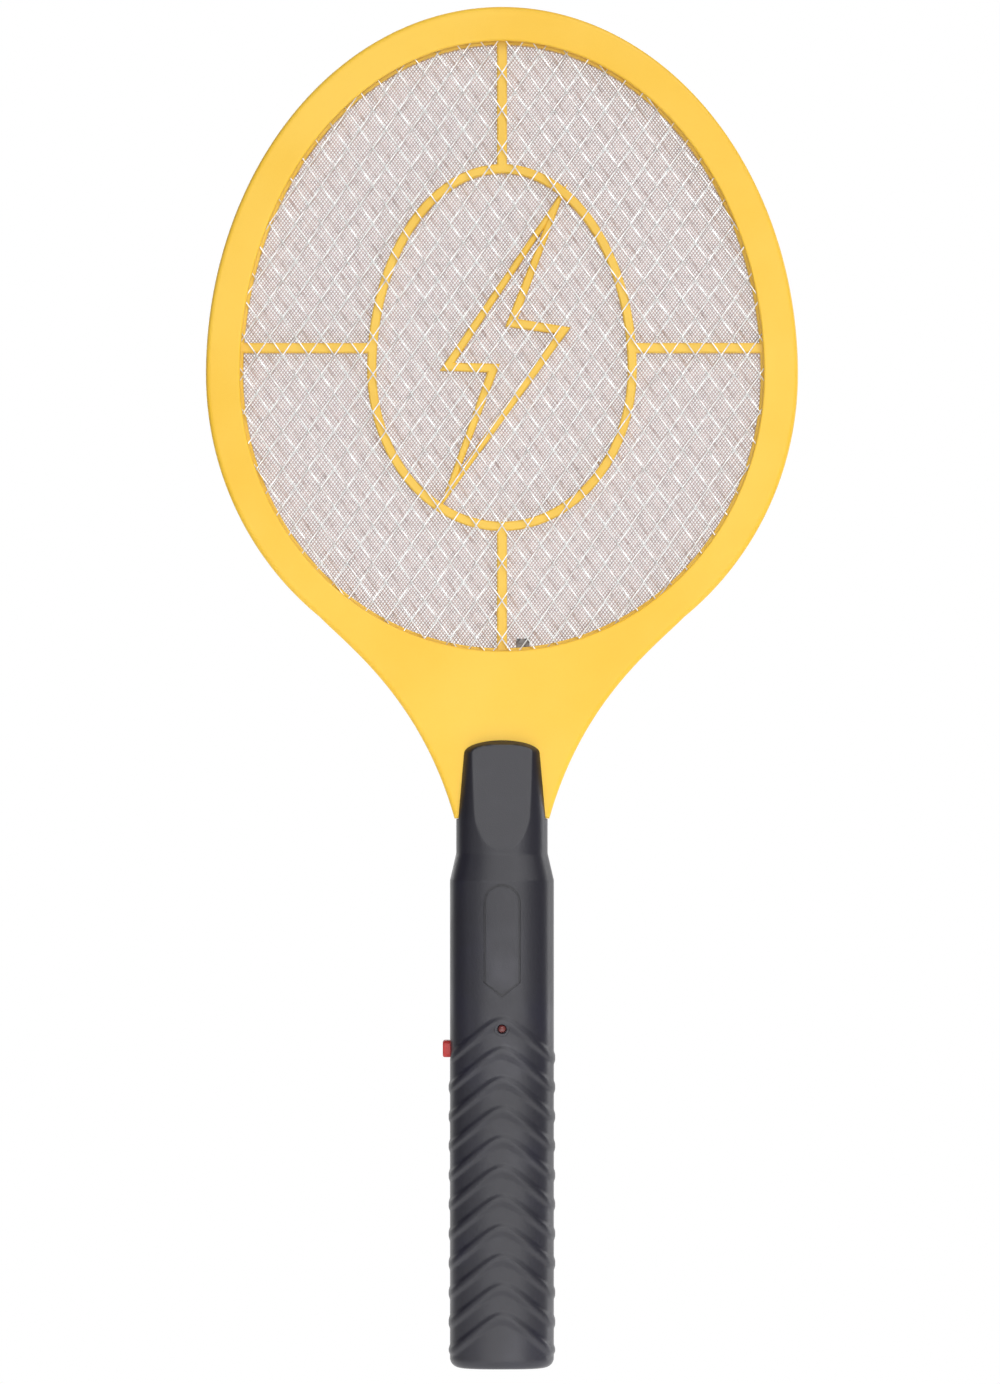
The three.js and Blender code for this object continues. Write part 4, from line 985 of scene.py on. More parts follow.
def diamond_net(name, middle, side, shift):
    """A lattice of diamonds at depth middle. shift moves it in its own plane."""
    spots = [(i, j) for i in range(-COLUMNS, COLUMNS + 1) for j in range(-ROWS, ROWS + 1)
             if (i + j) % 2 == 0]
    grid = np.array(spots, float) * (DIAMOND_WIDTH / 2, DIAMOND_HEIGHT / 2)
    grid = grid + (shift[0], head_z + shift[1])
    inside = in_window(grid, NET_REACH)
    knots = grid[inside]
    kept_spots = [spot for spot, good in zip(spots, inside) if good]
    kept = {spot: k for k, spot in enumerate(kept_spots)}
    corners = [(-KNOT_HALF_WIDTH, -TWIST, 0), (0, TWIST, -KNOT_HALF_HEIGHT),
               (KNOT_HALF_WIDTH, -TWIST, 0), (0, TWIST, KNOT_HALF_HEIGHT)]
    points = at_depth(knots, middle)[:, None, :] + np.array(corners) * (1, side, 1)
    left, foot, right, top = range(4)
    faces = []
    for (i, j), k in kept.items():
        faces.append([4 * k + c for c in (left, foot, right, top)])
        up_right, up_left = kept.get((i + 1, j + 1)), kept.get((i - 1, j + 1))
        if up_right is not None:
            faces.append([4 * k + right, 4 * up_right + foot, 4 * up_right + left, 4 * k + top])
        if up_left is not None:
            faces.append([4 * k + top, 4 * up_left + right, 4 * up_left + foot, 4 * k + left])
    mesh = bpy.data.meshes.new(name)
    mesh.from_pydata((points.reshape(-1, 3) * MM).tolist(), [], faces)
    sheet = bpy.data.objects.new(name, mesh)
    scene.collection.objects.link(sheet)
    thick = sheet.modifiers.new("thickness", "SOLIDIFY")
    thick.thickness = STRAND_THICKNESS * MM
    thick.offset = 0
    return sheet


for part, side, shift in (("front_net", -1, (0.0, 0.0)), ("rear_net", 1, (1.9, 3.1))):
    low, high = box_mm(part)
    net = diamond_net(part, float(low[1] + high[1]) / 2, side, shift)
    hand_over(net, part + "_diamonds", bright_net, stands_for=[part])

# %% [markdown]
# ## The centre net
# The charged net is a fine woven screen, stretched between the spacers. From a metre away it
# reads as a soft grey veil. Its wires are separate straight prisms, laid on the bias in two
# families, one just in front of the other. A little unevenness in their spacing, always the
# same, keeps false stripes from showing, which evenly spaced fine lines give in any render.

# %% Woven screen
WIRE_HALF = 0.17
WIRE_PITCH = 0.95
WIRE_WANDER = 0.13
WIRE_REACH = 7.0
WIRE_SINK = 0.7
SCREEN_SPAN = 150.0
RUN_SPAN = 170.0
RUN_STEPS = 1361
SHORTEST_RUN = 8
BIAS_ANGLES = (math.radians(52), math.radians(128))


def woven_screen(name, middle):
    chance = np.random.default_rng(11)
    points, faces = [], []
    run = np.linspace(-RUN_SPAN, RUN_SPAN, RUN_STEPS)
    for family, angle in enumerate(BIAS_ANGLES):
        along = np.array([math.cos(angle), math.sin(angle)])
        across = np.array([-along[1], along[0]])
        depth = middle + (WIRE_HALF if family else -WIRE_HALF) * WIRE_SINK
        for place in np.arange(-SCREEN_SPAN, SCREEN_SPAN, WIRE_PITCH):
            drift = chance.uniform(-WIRE_WANDER, WIRE_WANDER, 2)
            line = (0, head_z) + run[:, None] * along
            line = line + (place + np.linspace(*drift, len(run)))[:, None] * across
            inside = np.flatnonzero(in_window(line, WIRE_REACH))
            if len(inside) < SHORTEST_RUN:
                continue
            first = len(points)
            for end in (line[inside[0]], line[inside[-1]]):
                for sideways, out in ((-1, 0), (0, -1), (1, 0), (0, 1)):
                    x, z = end + across * sideways * WIRE_HALF
                    points.append((x, depth + out * WIRE_HALF, z))
            near, far = [first + k for k in range(4)], [first + 4 + k for k in range(4)]
            faces += [[near[k], near[k - 3], far[k - 3], far[k]] for k in range(4)]
            faces += [near[::-1], far]
    mesh = bpy.data.meshes.new(name)
    mesh.from_pydata((np.array(points) * MM).tolist(), [], faces)
    facing_out(mesh)
    screen = bpy.data.objects.new(name, mesh)
    scene.collection.objects.link(screen)
    return screen


EVERY_EDGE_SOFT = math.radians(120)
hand_over(woven_screen("centre_net", 0.0), "centre_net_screen", grey_net_with_painted_shade,
          stands_for=["centre_net"], crisp=EVERY_EDGE_SOFT)

# %% [markdown]
# ## The handle's section
# Across, the handle is a rounded oval with flattish front and sides. A superellipse of exponent
# three draws it. Its points are spread evenly along the curve, because even quads keep the
# grip's ridges smooth. The section keeps its form up the handle and only its size changes.

# %% Section and radius
HALF_WIDTH = 18.75
HALF_DEPTH = 15.5
DEPTH_RATIO = HALF_DEPTH / HALF_WIDTH
SQUARENESS = 3.0
SECTION_POINTS = 232
END_ROUNDING = 3.2
NECK_RADIUS = 16.5
WIDE_Z = 175.5
NARROW_Z = 185.2
COLLAR_Z = 197.5
TONGUE_TOP = 226.0
TONGUE_TIP = 4.6
TIP_HALF_WIDTH = 13.6
FRAME_ROOM = 7.0


def unit_section(count):
    """A superellipse of half-width one, its points evenly spread, and its outward normals."""
    turn = np.linspace(0, 2 * math.pi, 20001)
    power = 2 / SQUARENESS
    x = np.sign(np.cos(turn)) * np.abs(np.cos(turn)) ** power
    y = np.sign(np.sin(turn)) * np.abs(np.sin(turn)) ** power * DEPTH_RATIO
    length = np.concatenate([[0], np.cumsum(np.hypot(np.diff(x), np.diff(y)))])
    even = np.linspace(0, length[-1], count, endpoint=False)
    points = np.column_stack([np.interp(even, length, x), np.interp(even, length, y)])
    normals = np.sign(points) * np.abs(points) ** (SQUARENESS - 1)
    normals /= (1, DEPTH_RATIO**SQUARENESS)
    return points, normals / np.linalg.norm(normals, axis=1, keepdims=True)


def tongue_radius(half_width):
    """The section's radius whose half-width is half_width where it meets the frame's face."""
    room = FRAME_ROOM / DEPTH_RATIO
    return (half_width**3 + room**3) ** (1 / 3)


def handle_radius(z):
    z = np.asarray(z, float)
    heights = [WIDE_Z, NARROW_Z, COLLAR_Z, TONGUE_TOP - TONGUE_TIP]
    radii = [HALF_WIDTH, NECK_RADIUS, NECK_RADIUS, tongue_radius(TIP_HALF_WIDTH)]
    wide = np.interp(z, heights, radii)
    tip = np.clip((z - TONGUE_TOP + TONGUE_TIP) / TONGUE_TIP, 0, 1)
    wide = np.where(tip > 0, tongue_radius(TIP_HALF_WIDTH * np.sqrt(1 - tip**2)), wide)
    foot = np.clip(1 - z / END_ROUNDING, 0, 1)
    return wide - END_ROUNDING * (1 - np.sqrt(1 - foot**2))


section, section_normals = unit_section(SECTION_POINTS)
print("handle radius at the grip, collar and tip:", handle_radius([90, 190, 225]).round(2))

# %% [markdown]
# ## The grip's ridges
# Eleven soft chevrons stop the hand from slipping. They are part of the moulding, so they are
# raised from the handle's own skin: each point moves out along its normal by the height of the
# ridge that it lies on. Ridges fade near the button and the foot, as in the mould, and behind
# they leave a smooth patch for the battery cover's thumb ribs.

# %% Ridge height
RIDGE_COUNT = 11
RIDGE_PITCH = 10.6
RIDGE_TOP = 126.8
RIDGE_SLOPE = 0.9
RIDGE_HEIGHT = 0.5
RIDGE_HALF_BAND = 2.7
RIDGE_FLANK = 2.1
TIP_ROUND = 4.5
TIP_DROP = 2.1
FADE = 1.5
BUTTON_REST = (6.5, 5.3)
THUMB_Z = 49.6
THUMB_REST = (8.0, 5.6)
FOOT_REST = 4.2
FOOT_FADE = 1.6
button_low, button_high = box_mm("power_button")
button_z = float(button_low[2] + button_high[2]) / 2


def smooth(value):
    value = np.clip(value, 0, 1)
    return value * value * (3 - 2 * value)


def ridge_height(x, y, z):
    """How far the skin is raised at a place on it."""
    drop = RIDGE_SLOPE * (np.hypot(x, TIP_ROUND) - TIP_ROUND) + TIP_DROP
    down = RIDGE_TOP - drop - z
    nearest = np.clip(np.round(down / RIDGE_PITCH), 0, RIDGE_COUNT - 1)
    off = down - nearest * RIDGE_PITCH
    shape = smooth((RIDGE_HALF_BAND - np.abs(off)) / RIDGE_FLANK)
    from_button = np.maximum(np.abs(y) - BUTTON_REST[0], np.abs(z - button_z) - BUTTON_REST[1])
    clear = np.where(x < 0, smooth(from_button / FADE), 1.0)
    from_thumb = np.maximum(np.abs(x) - THUMB_REST[0], np.abs(z - THUMB_Z) - THUMB_REST[1])
    clear *= np.where(y > 0, smooth(from_thumb / FADE), 1.0)
    return RIDGE_HEIGHT * shape * clear * smooth((z - FOOT_REST) / FOOT_FADE)


print("a ridge is", RIDGE_HEIGHT, "mm high")

# %% [markdown]
# ## The handle as one solid
# The outside is made once, in one piece, and both shells and the battery cover are cut out of
# it. So their surfaces line up exactly, as they do when the mould is cut from one model. Where
# the tongue lies on the neck, a sloping flat is planed off it, front and back.

# %% Outside of the handle
FLAT_START = 183.0
FLAT_DEPTH = 14.06
FLAT_SLOPE = 0.103
FLAT_RUN_OUT = 1.2
GRIP_ROW = 0.45
GRIP_END, BADGE_END, SHOULDER_END = 134.0, 172.0, 190.0


def handle_rows():
    """Heights of the skin's rows: close together where the form changes quickly."""
    foot = END_ROUNDING * (1 - np.cos(np.linspace(0, math.pi / 2, 9)))
    grip = np.arange(END_ROUNDING + GRIP_ROW, GRIP_END, GRIP_ROW)
    badge = np.arange(GRIP_END, BADGE_END, 1.2)
    shoulder = np.arange(BADGE_END, SHOULDER_END, 0.5)
    neck = np.arange(SHOULDER_END, TONGUE_TOP - TONGUE_TIP, 0.9)
    tip = TONGUE_TOP - TONGUE_TIP * (1 - np.sin(np.linspace(0, math.pi / 2, 14)))
    return np.concatenate([foot, grip, badge, shoulder, neck, tip])


def planed(y, z):
    """Depth y, held back to the tongue's sloping flat."""
    above = FLAT_DEPTH - FLAT_SLOPE * (z - FLAT_START)
    below = FLAT_DEPTH + FLAT_RUN_OUT * (FLAT_START - z)
    return np.clip(y, -np.maximum(above, below), np.maximum(above, below))


def handle_outside():
    loops = []
    for z in handle_rows():
        x, y = (section * handle_radius(z)).T
        height = ridge_height(x, y, z)
        x, y = x + section_normals[:, 0] * height, y + section_normals[:, 1] * height
        loops.append(np.column_stack([x, planed(y, z), np.full(len(x), z)]))
    return skin("outside", loops)


outside = handle_outside()
print("outside has", len(outside.data.polygons), "faces")

# %% [markdown]
# ## The hollow of the handle
# A moulded shell is about two millimetres thick everywhere, so its hollow is the same section,
# two millimetres smaller all round. It starts above the end wall and runs out of the collar.

# %% Inside of the handle
SHELL_WALL = 2.0
INSIDE_RADIUS = HALF_WIDTH - SHELL_WALL
INSIDE_RATIO = (HALF_DEPTH - SHELL_WALL) / INSIDE_RADIUS
NECK_INSIDE = 13.7
NARROWING_DROP = 0.8
END_WALL = 2.5
END_CORNER = 0.4


def handle_inside(grow=0.0):
    loops = []
    stations = [(END_WALL, INSIDE_RADIUS - END_CORNER), (END_WALL + END_CORNER, INSIDE_RADIUS),
                (WIDE_Z - NARROWING_DROP, INSIDE_RADIUS),
                (NARROW_Z - NARROWING_DROP, NECK_INSIDE), (COLLAR_Z + 1, NECK_INSIDE)]
    even = section[::2] * (1, INSIDE_RATIO / DEPTH_RATIO)
    for z, radius in stations:
        loops.append(np.column_stack([even * (radius + grow), np.full(len(even), z)]))
    return skin("inside", loops)


print("the hollow is", 2 * INSIDE_RADIUS, "mm wide")

# %% [markdown]
# ## Cutters for the shells
# The same few openings are cut in both shells: room for the frame between the tongues, and the
# button's well in the left side. The shells meet at a fine line, where a tongue inside the rear
# shell's edge runs in a step of the front one. Every opening keeps the gap that real parts need
# in order to go together.

# %% Cutters for both shells
FAR = 300.0
GAP = 0.3
RAIL_Y = float(box_mm("battery_cover")[0][1])
COVER_HALF_WIDTH = 13.0
COVER_TOP = 66.9
WELL = 0.35


def rounded_rectangle(half_across, half_up, corner, steps=7):
    """Corner points of a rounded rectangle round the origin, counter-clockwise."""
    points = []
    for quarter_turn, (sx, sy) in enumerate([(1, 1), (-1, 1), (-1, -1), (1, -1)]):
        turns = np.linspace(0, math.pi / 2, steps) + quarter_turn * math.pi / 2
        points += [(sx * (half_across - corner) + corner * math.cos(t),
                    sy * (half_up - corner) + corner * math.sin(t)) for t in turns]
    return np.array(points)


def frame_room():
    return block("room", (-FAR, -FRAME_ROOM, COLLAR_Z), (FAR, FRAME_ROOM, FAR))


def seam_step():
    """The step inside the front shell's edge, which the rear shell's tongue runs in."""
    front = -TONGUE_REACH - 2 * STEP_ROOM
    return shared(handle_inside(TONGUE + STEP_ROOM),
                  block("step", (-FAR, front, -FAR), (FAR, FAR, FAR)))


def seam_tongue():
    return cut(handle_inside(TONGUE), handle_inside(),
               block("before", (-FAR, -FAR, -FAR), (FAR, -TONGUE_REACH, FAR)),
               block("behind", (-FAR, 2 * PARTING, -FAR), (FAR, FAR, FAR)))


def side_loops(sections):
    """Loops across X, from (x, half_y, half_z, corner) sections round the button's centre."""
    loops = []
    for x, half_y, half_z, corner in sections:
        face = rounded_rectangle(half_y, half_z, corner)
        loops.append(np.column_stack([np.full(len(face), x), face[:, 0], face[:, 1] + button_z]))
    return loops


BUTTON_HALF_Y, BUTTON_HALF_Z, BUTTON_CORNER = 4.25, 3.05, 1.5
WELL_STATIONS = [(-22.5, 4.1), (-18.7, 0.35), (-18.2, 0.0), (-14.0, 0.0)]


def button_well():
    """Stations across X, each with how much wider the well is there than round the button."""
    room = np.array([BUTTON_HALF_Y, BUTTON_HALF_Z, BUTTON_CORNER]) + WELL
    return skin("well", side_loops([(x, *(room + wider)) for x, wider in WELL_STATIONS]))


print("the battery cover's rails start at y", round(RAIL_Y, 2))

# %% [markdown]
# ## The badge
# On the front, under the collar, a fine groove outlines an empty badge with a round top and a
# pointed foot. It is cut by a band that is sunk by less than a millimetre. The band is bent to
# the handle by keeping only what lies near the skin: a smaller handle is taken out of it.

# %% Badge groove
BADGE_HALF_WIDTH = 6.7
BADGE_TOP = 174.5
BADGE_FOOT = 133.7
GROOVE_WIDTH = 0.9
GROOVE_DEPTH = 0.9
GROOVE_EDGE = 0.01
GROOVE_FRONT, GROOVE_BACK = -20.0, -5.0
CORE_HEIGHTS = (120.0, 178.0)


def badge_loop(shrink):
    half = BADGE_HALF_WIDTH - shrink
    shoulder = BADGE_FOOT + 0.8 * BADGE_HALF_WIDTH
    top = BADGE_TOP - BADGE_HALF_WIDTH
    arc = np.linspace(0, math.pi, 40)
    crown = np.column_stack([half * np.cos(arc), top + half * np.sin(arc)])
    return np.concatenate([[(0, BADGE_FOOT + 1.3 * shrink), (half, shoulder)], crown,
                           [(-half, shoulder)]])


def badge_groove():
    groove = band("groove", badge_loop(0), badge_loop(GROOVE_WIDTH), GROOVE_FRONT, GROOVE_BACK,
                  GROOVE_EDGE)
    core = [np.column_stack([section * (HALF_WIDTH - GROOVE_DEPTH), np.full(len(section), z)])
            for z in CORE_HEIGHTS]
    return cut(groove, skin("core", core))


print("badge is", 2 * BADGE_HALF_WIDTH, "mm wide and", round(BADGE_TOP - BADGE_FOOT, 1), "high")

# %% [markdown]
# ## The front shell
# The front shell carries everything: two posts that reach through the tang, two lower posts,
# two for the board, the end wall and a small collar round the lamp. They are joined to the half
# shell and then the screw holes, the lamp hole, the badge and the button's well are cut.

# %% Front handle shell
POST_RADIUS = 3.0
SCREW_BITE = 1.35
LOWER_POSTS = [(-12.0, 72.4), (12.0, 72.4)]
BOARD_POSTS = [(-8.5, 156.5), (8.5, 83.4)]
BOARD_POST_RADIUS = 2.4
BOARD_SCREW_BITE = 1.0
LAMP_HOLE = 1.65
LAMP_COLLAR = [(1.0, 2.75), (-0.2, 2.75), (-0.4, 2.5), (-0.4, 1.9), (-0.1, LAMP_HOLE + 0.01)]
lamp_low, lamp_high = box_mm("indicator_lamp")
lamp_place = (0.0, float(lamp_high[2] + lamp_low[2]) / 2)


board_face = float(box_mm("circuit_board")[0][1]) - GAP


def post(front, back, radius, place):
    return turned("post", [(front, radius), (back, radius)], place, sides=40)


def front_supports():
    """The posts and the end wall, each trimmed to the handle's outside."""
    supports = [post(-HALF_DEPTH, frame_half, POST_RADIUS, (0, z)) for z in post_heights]
    supports += [post(-HALF_DEPTH, -PARTING, POST_RADIUS, place) for place in LOWER_POSTS]
    supports += [post(-HALF_DEPTH, board_face, BOARD_POST_RADIUS, p) for p in BOARD_POSTS]
    supports.append(block("end", (-FAR, -FAR, -1), (FAR, RAIL_Y - GAP, END_WALL)))
    return [shared(copy_of(outside, "support"), tool) for tool in supports]


def front_holes():
    """Cutters for the screws' threads and the lamp, from well inside to just past each face."""
    holes = [post(-4, frame_half + 1, SCREW_BITE, (0, z)) for z in post_heights]
    holes += [post(-8, 1, SCREW_BITE, place) for place in LOWER_POSTS]
    holes += [post(board_face - 5, board_face + 1, BOARD_SCREW_BITE, p) for p in BOARD_POSTS]
    return holes + [post(-20, -11, LAMP_HOLE, lamp_place)]


def front_shell():
    shell = copy_of(outside, "front_shell")
    rear_half = block("half", (-FAR, -PARTING, -FAR), (FAR, FAR, FAR))
    shell = cut(shell, handle_inside(), frame_room(), rear_half, seam_step())
    collar_stations = [(step - HALF_DEPTH, radius) for step, radius in LAMP_COLLAR]
    collar = turned("collar", collar_stations, lamp_place)
    shell = joined(shell, *front_supports(), collar)
    return cut(shell, *front_holes(), badge_groove(), button_well())


hand_over(front_shell(), "front_handle_moulding", charcoal_plastic,
          stands_for=["front_handle_shell"])

# %% [markdown]
# ## The rear shell
# Behind, four screws pull the shells together in deep sunk seats, and the lower half is open
# for the cells. Small bosses keep the screws straight. The opening is the cover's outline with
# a little room all round, and two slots in the end let the hooks of its rails pass, so that the
# cover slides freely. Each seat's mouth is where its hole meets the skin.

# %% Rear handle shell
SCREW_SEAT_Y = 9.0
SEAT_RADIUS = 2.7
HANDLE_SCREW_HOLE = 1.45
RAIL_HOOK = 0.8
RAIL_THICKNESS = 1.2
HOOK_SLOT_TOP = 4.8
handle_screws = [(0, z) for z in post_heights] + LOWER_POSTS
SEAT_MOUTHS = [12.1, 14.9, 13.6, 13.6]


def rear_bosses():
    bosses = [post(FRAME_ROOM, HALF_DEPTH, POST_RADIUS + 1, (0, post_heights[1]))]
    bosses += [post(PARTING, HALF_DEPTH, POST_RADIUS, place) for place in LOWER_POSTS]
    return [shared(copy_of(outside, "boss"), tool) for tool in bosses]


def rear_shell():
    shell = copy_of(outside, "rear_shell")
    front_half = block("half", (-FAR, -FAR, -FAR), (FAR, PARTING, FAR))
    shell = joined(cut(shell, handle_inside(), front_half), seam_tongue())
    end = block("end", (-FAR, -FAR, -FAR), (FAR, RAIL_Y - GAP / 2, END_WALL + GAP))
    hook = COVER_HALF_WIDTH + RAIL_HOOK + GAP
    slots = block("slots", (-hook, RAIL_Y - GAP, -1),
                  (hook, RAIL_Y + RAIL_THICKNESS + GAP, HOOK_SLOT_TOP))
    shell = joined(cut(shell, frame_room(), end, slots), *rear_bosses())
    holes = [post(-1, 30, HANDLE_SCREW_HOLE, place) for place in handle_screws]
    holes += [sunk_seat(place, SCREW_SEAT_Y, mouth, SEAT_RADIUS)
              for place, mouth in zip(handle_screws, SEAT_MOUTHS)]
    bay = COVER_HALF_WIDTH + GAP
    opening = block("bay", (-bay, RAIL_Y - GAP, -FAR), (bay, FAR, COVER_TOP + GAP))
    return cut(shell, *holes, opening, button_well())


hand_over(rear_shell(), "rear_handle_moulding", charcoal_plastic,
          stands_for=["rear_handle_shell"])

# %% [markdown]
# ## The battery cover
# The cover is a panel of the same skin, with the same ridges, so it is cut from the same solid.
# Two hooked rails run in the shell and a lip goes under its edge. Four short ribs give the thumb
# something to push: they are thin bars with round ends, sunk into the panel.

# %% Battery cover
LIP_HALF_WIDTH = 6.0
LIP_THICKNESS = 1.4
LIP_REACH = 4.0
RAIL_TOP = COVER_TOP - 2
RAIL_BACK = 13.5
HOOK_FOOT = 2.8
PANEL_BACK = 14.0
THUMB_TOP = COVER_TOP - 14
THUMB_PITCH = 2.6
THUMB_RIBS = 4
THUMB_HALF_WIDTH = 6.0
THUMB_SINK = 0.1
THUMB_END = [(0.0, 0.15), (0.2, 0.5), (0.7, 0.7)]


def inside_depth(x):
    """How far behind the middle the shell's inner face is, at x."""
    share = 1 - (abs(x) / INSIDE_RADIUS) ** SQUARENESS
    return INSIDE_RADIUS * INSIDE_RATIO * share ** (1 / SQUARENESS)


def thumb_rib(half, z):
    start = [(along - half, radius) for along, radius in THUMB_END]
    stations = start + [(-along, radius) for along, radius in start[::-1]]
    return turned("thumb_rib", stations, (HALF_DEPTH - THUMB_SINK, z), axis="x", sides=20)


def rail(side):
    """One rail's web and its outward hook."""
    outside_face = COVER_HALF_WIDTH - GAP
    inside_face = outside_face - RAIL_THICKNESS
    near, far = sorted((side * outside_face, side * inside_face))
    web = block("web", (near, RAIL_Y, END_WALL), (far, RAIL_BACK, RAIL_TOP))
    near, far = sorted((side * inside_face, side * (COVER_HALF_WIDTH + RAIL_HOOK)))
    hook = block("hook", (near, RAIL_Y, HOOK_FOOT), (far, RAIL_Y + RAIL_THICKNESS, RAIL_TOP))
    return [shared(copy_of(outside, "rail"), web), hook]


def cover_lip():
    """The lip that goes under the shell's edge, and the root that joins it to the panel."""
    wide, back = LIP_HALF_WIDTH, inside_depth(LIP_HALF_WIDTH) - GAP
    corner = (-wide, back - LIP_THICKNESS, COVER_TOP - LIP_REACH)
    return [block("lip", corner, (wide, back, COVER_TOP + LIP_REACH)),
            block("root", corner, (wide, PANEL_BACK, COVER_TOP - 1))]


def battery_cover():
    half = COVER_HALF_WIDTH
    bay = block("panel", (-half, RAIL_Y, -FAR), (half, FAR, COVER_TOP))
    panel = cut(shared(copy_of(outside, "cover"), bay), handle_inside())
    ribs = [thumb_rib(THUMB_HALF_WIDTH - i, THUMB_TOP - i * THUMB_PITCH)
            for i in range(THUMB_RIBS)]
    return joined(panel, *rail(-1), *rail(1), *cover_lip(), *ribs)


hand_over(battery_cover(), "battery_cover_moulding", charcoal_plastic,
          body="battery_cover", stands_for=["battery_cover"])
bpy.data.meshes.remove(outside.data)

# %% [markdown]
# ## The button's cap
# The red button is a small cap with soft corners that stands out of the left side, on a flange
# that keeps it from falling out. It is a rounded rectangle at several depths, so it is skinned
# from side to side. One more loop inside the tip's edge keeps the flat tip flat.

# %% Button cap
FLANGE_THICKNESS = 1.2
FLANGE_CORNER = 0.8
CAP_ROUND = 0.7
TIP_INSET, TIP_CORNER = 1.4, 0.3
cap_tip = float(button_low[0])
flange_root = float(button_high[0])
flange_face = flange_root - FLANGE_THICKNESS
flange_y = float(button_high[1])
flange_z = float(button_high[2]) - button_z


def button_cap():
    sections = [(cap_tip, BUTTON_HALF_Y - TIP_INSET, BUTTON_HALF_Z - TIP_INSET, TIP_CORNER)]
    for turn in np.linspace(0, math.pi / 2, 6):
        drawn_in = CAP_ROUND * (1 - math.sin(turn))
        x = cap_tip + CAP_ROUND * (1 - math.cos(turn))
        sections.append((x, BUTTON_HALF_Y - drawn_in, BUTTON_HALF_Z - drawn_in,
                         BUTTON_CORNER - drawn_in))
    sections += [
        (flange_face, BUTTON_HALF_Y, BUTTON_HALF_Z, BUTTON_CORNER),
        (flange_face, flange_y, flange_z, FLANGE_CORNER),
        (flange_root, flange_y, flange_z, FLANGE_CORNER),
    ]
    return skin("cap", side_loops(sections))


hand_over(button_cap(), "power_button_cap", red_plastic, body="button",
          stands_for=["power_button"])

# %% [markdown]
# ## The switch's return spring
# A small coil behind the plunger pushes the button out. Its fixed end is on the switch's body.

# %% Switch spring
spring_low, spring_high = box_mm("switch_spring")
SPRING_WIRE = 0.22
SPRING_TURNS = 4.5


def wound_tube(name, start, end, radius, centre, steps=150, sides=10):
    """The spring's wire, wound round an axis along X."""
    t = np.linspace(0, 1, steps)
    turn = 2 * math.pi * SPRING_TURNS * t
    out = np.column_stack([np.zeros(steps), np.cos(turn), np.sin(turn)])
    axis = np.column_stack([start + (end - start) * t, np.full((steps, 2), centre)])
    line = axis + radius * out
    run = np.gradient(line, axis=0)
    run /= np.linalg.norm(run, axis=1, keepdims=True)
    side = np.cross(run, out)
    angles = np.linspace(0, 2 * math.pi, sides, endpoint=False)[:, None]
    around = np.cos(angles) * out[:, None] + np.sin(angles) * side[:, None]
    return skin(name, line[:, None] + SPRING_WIRE * around)


spring_centre = (spring_low[1:] + spring_high[1:]) / 2
spring_radius = float(spring_high[1] - spring_low[1]) / 2 - SPRING_WIRE
return_spring = wound_tube("spring", float(spring_low[0]) + SPRING_WIRE,
                           float(spring_high[0]) - SPRING_WIRE, spring_radius, spring_centre)
hand_over(return_spring, "switch_return_spring", plated_steel,
          stands_for=["switch_spring"])
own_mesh(return_spring)
print("spring is", round(float(spring_high[0] - spring_low[0]), 2), "mm long at rest")

# %% [markdown]
# ## Parts that keep the frame's own shape
# The parts inside were already made at their true shape, with cross slots in the screws and
# turns on the springs. They stay, and get the finishes made above. Their edges are broken with
# a small bevel, as every real edge is, so that each catches a thread of light. A weld first
# joins the corners that neighbouring faces share, or the bevel would find no edges to break.

# %% Finishes and broken edges for the inner parts
INNER_FINISHES = {
    plated_steel: ["handle_screw_neck_top", "handle_screw_neck_low", "handle_screw_left",
                   "handle_screw_right", "frame_screw_left", "frame_screw_right",
                   "board_screw_upper", "board_screw_lower", "battery_spring_lower",
                   "battery_spring_upper"],
    dark_terminal: ["centre_net_terminal"],
    brass: ["battery_bridge_contact", "battery_positive_contact", "battery_negative_contact"],
    component_black: ["switch_body", "switch_plunger", "transistor"],
    lamp_resin: ["indicator_lamp"],
    board_laminate: ["circuit_board"],
    ferrite: ["transformer_core"],
    winding_tape: ["transformer_winding"],
    film_capacitor: ["hv_capacitor"],
    ceramic_blue: ["multiplier_capacitor_1", "multiplier_capacitor_2"],
    tray_grey: ["battery_tray"],
    wire_red: ["wire_battery_positive", "wire_centre_net"],
    wire_black: ["wire_battery_negative", "wire_front_net", "wire_rear_net"],
}
EDGE_BREAK = 0.12
SHARP_EDGE = math.radians(40)
WELD_REACH = 0.001
finish_of = {part: finish for finish, parts in INNER_FINISHES.items() for part in parts}
finish_of |= resistor_tan | diode_black | cell_sleeves

for part, finish in finish_of.items():
    for material_slot in nodes[part].material_slots:
        material_slot.material = finish
    weld = nodes[part].modifiers.new("weld", "WELD")
    weld.merge_threshold = WELD_REACH * MM
    broken = nodes[part].modifiers.new("broken_edges", "BEVEL")
    broken.width = EDGE_BREAK * MM
    broken.segments = 2
    broken.limit_method = "ANGLE"
    broken.angle_limit = SHARP_EDGE
    broken.use_clamp_overlap = True

print("finished", len(finish_of), "inner parts")

# %% [markdown]
# ## The floor
# The swatter is shown against plain white. A pale floor lies a hand's width below it, deep
# enough for the battery cover to slide out in full above it. It glows a little, so that it is
# as white as the room behind and its edge doesn't show.

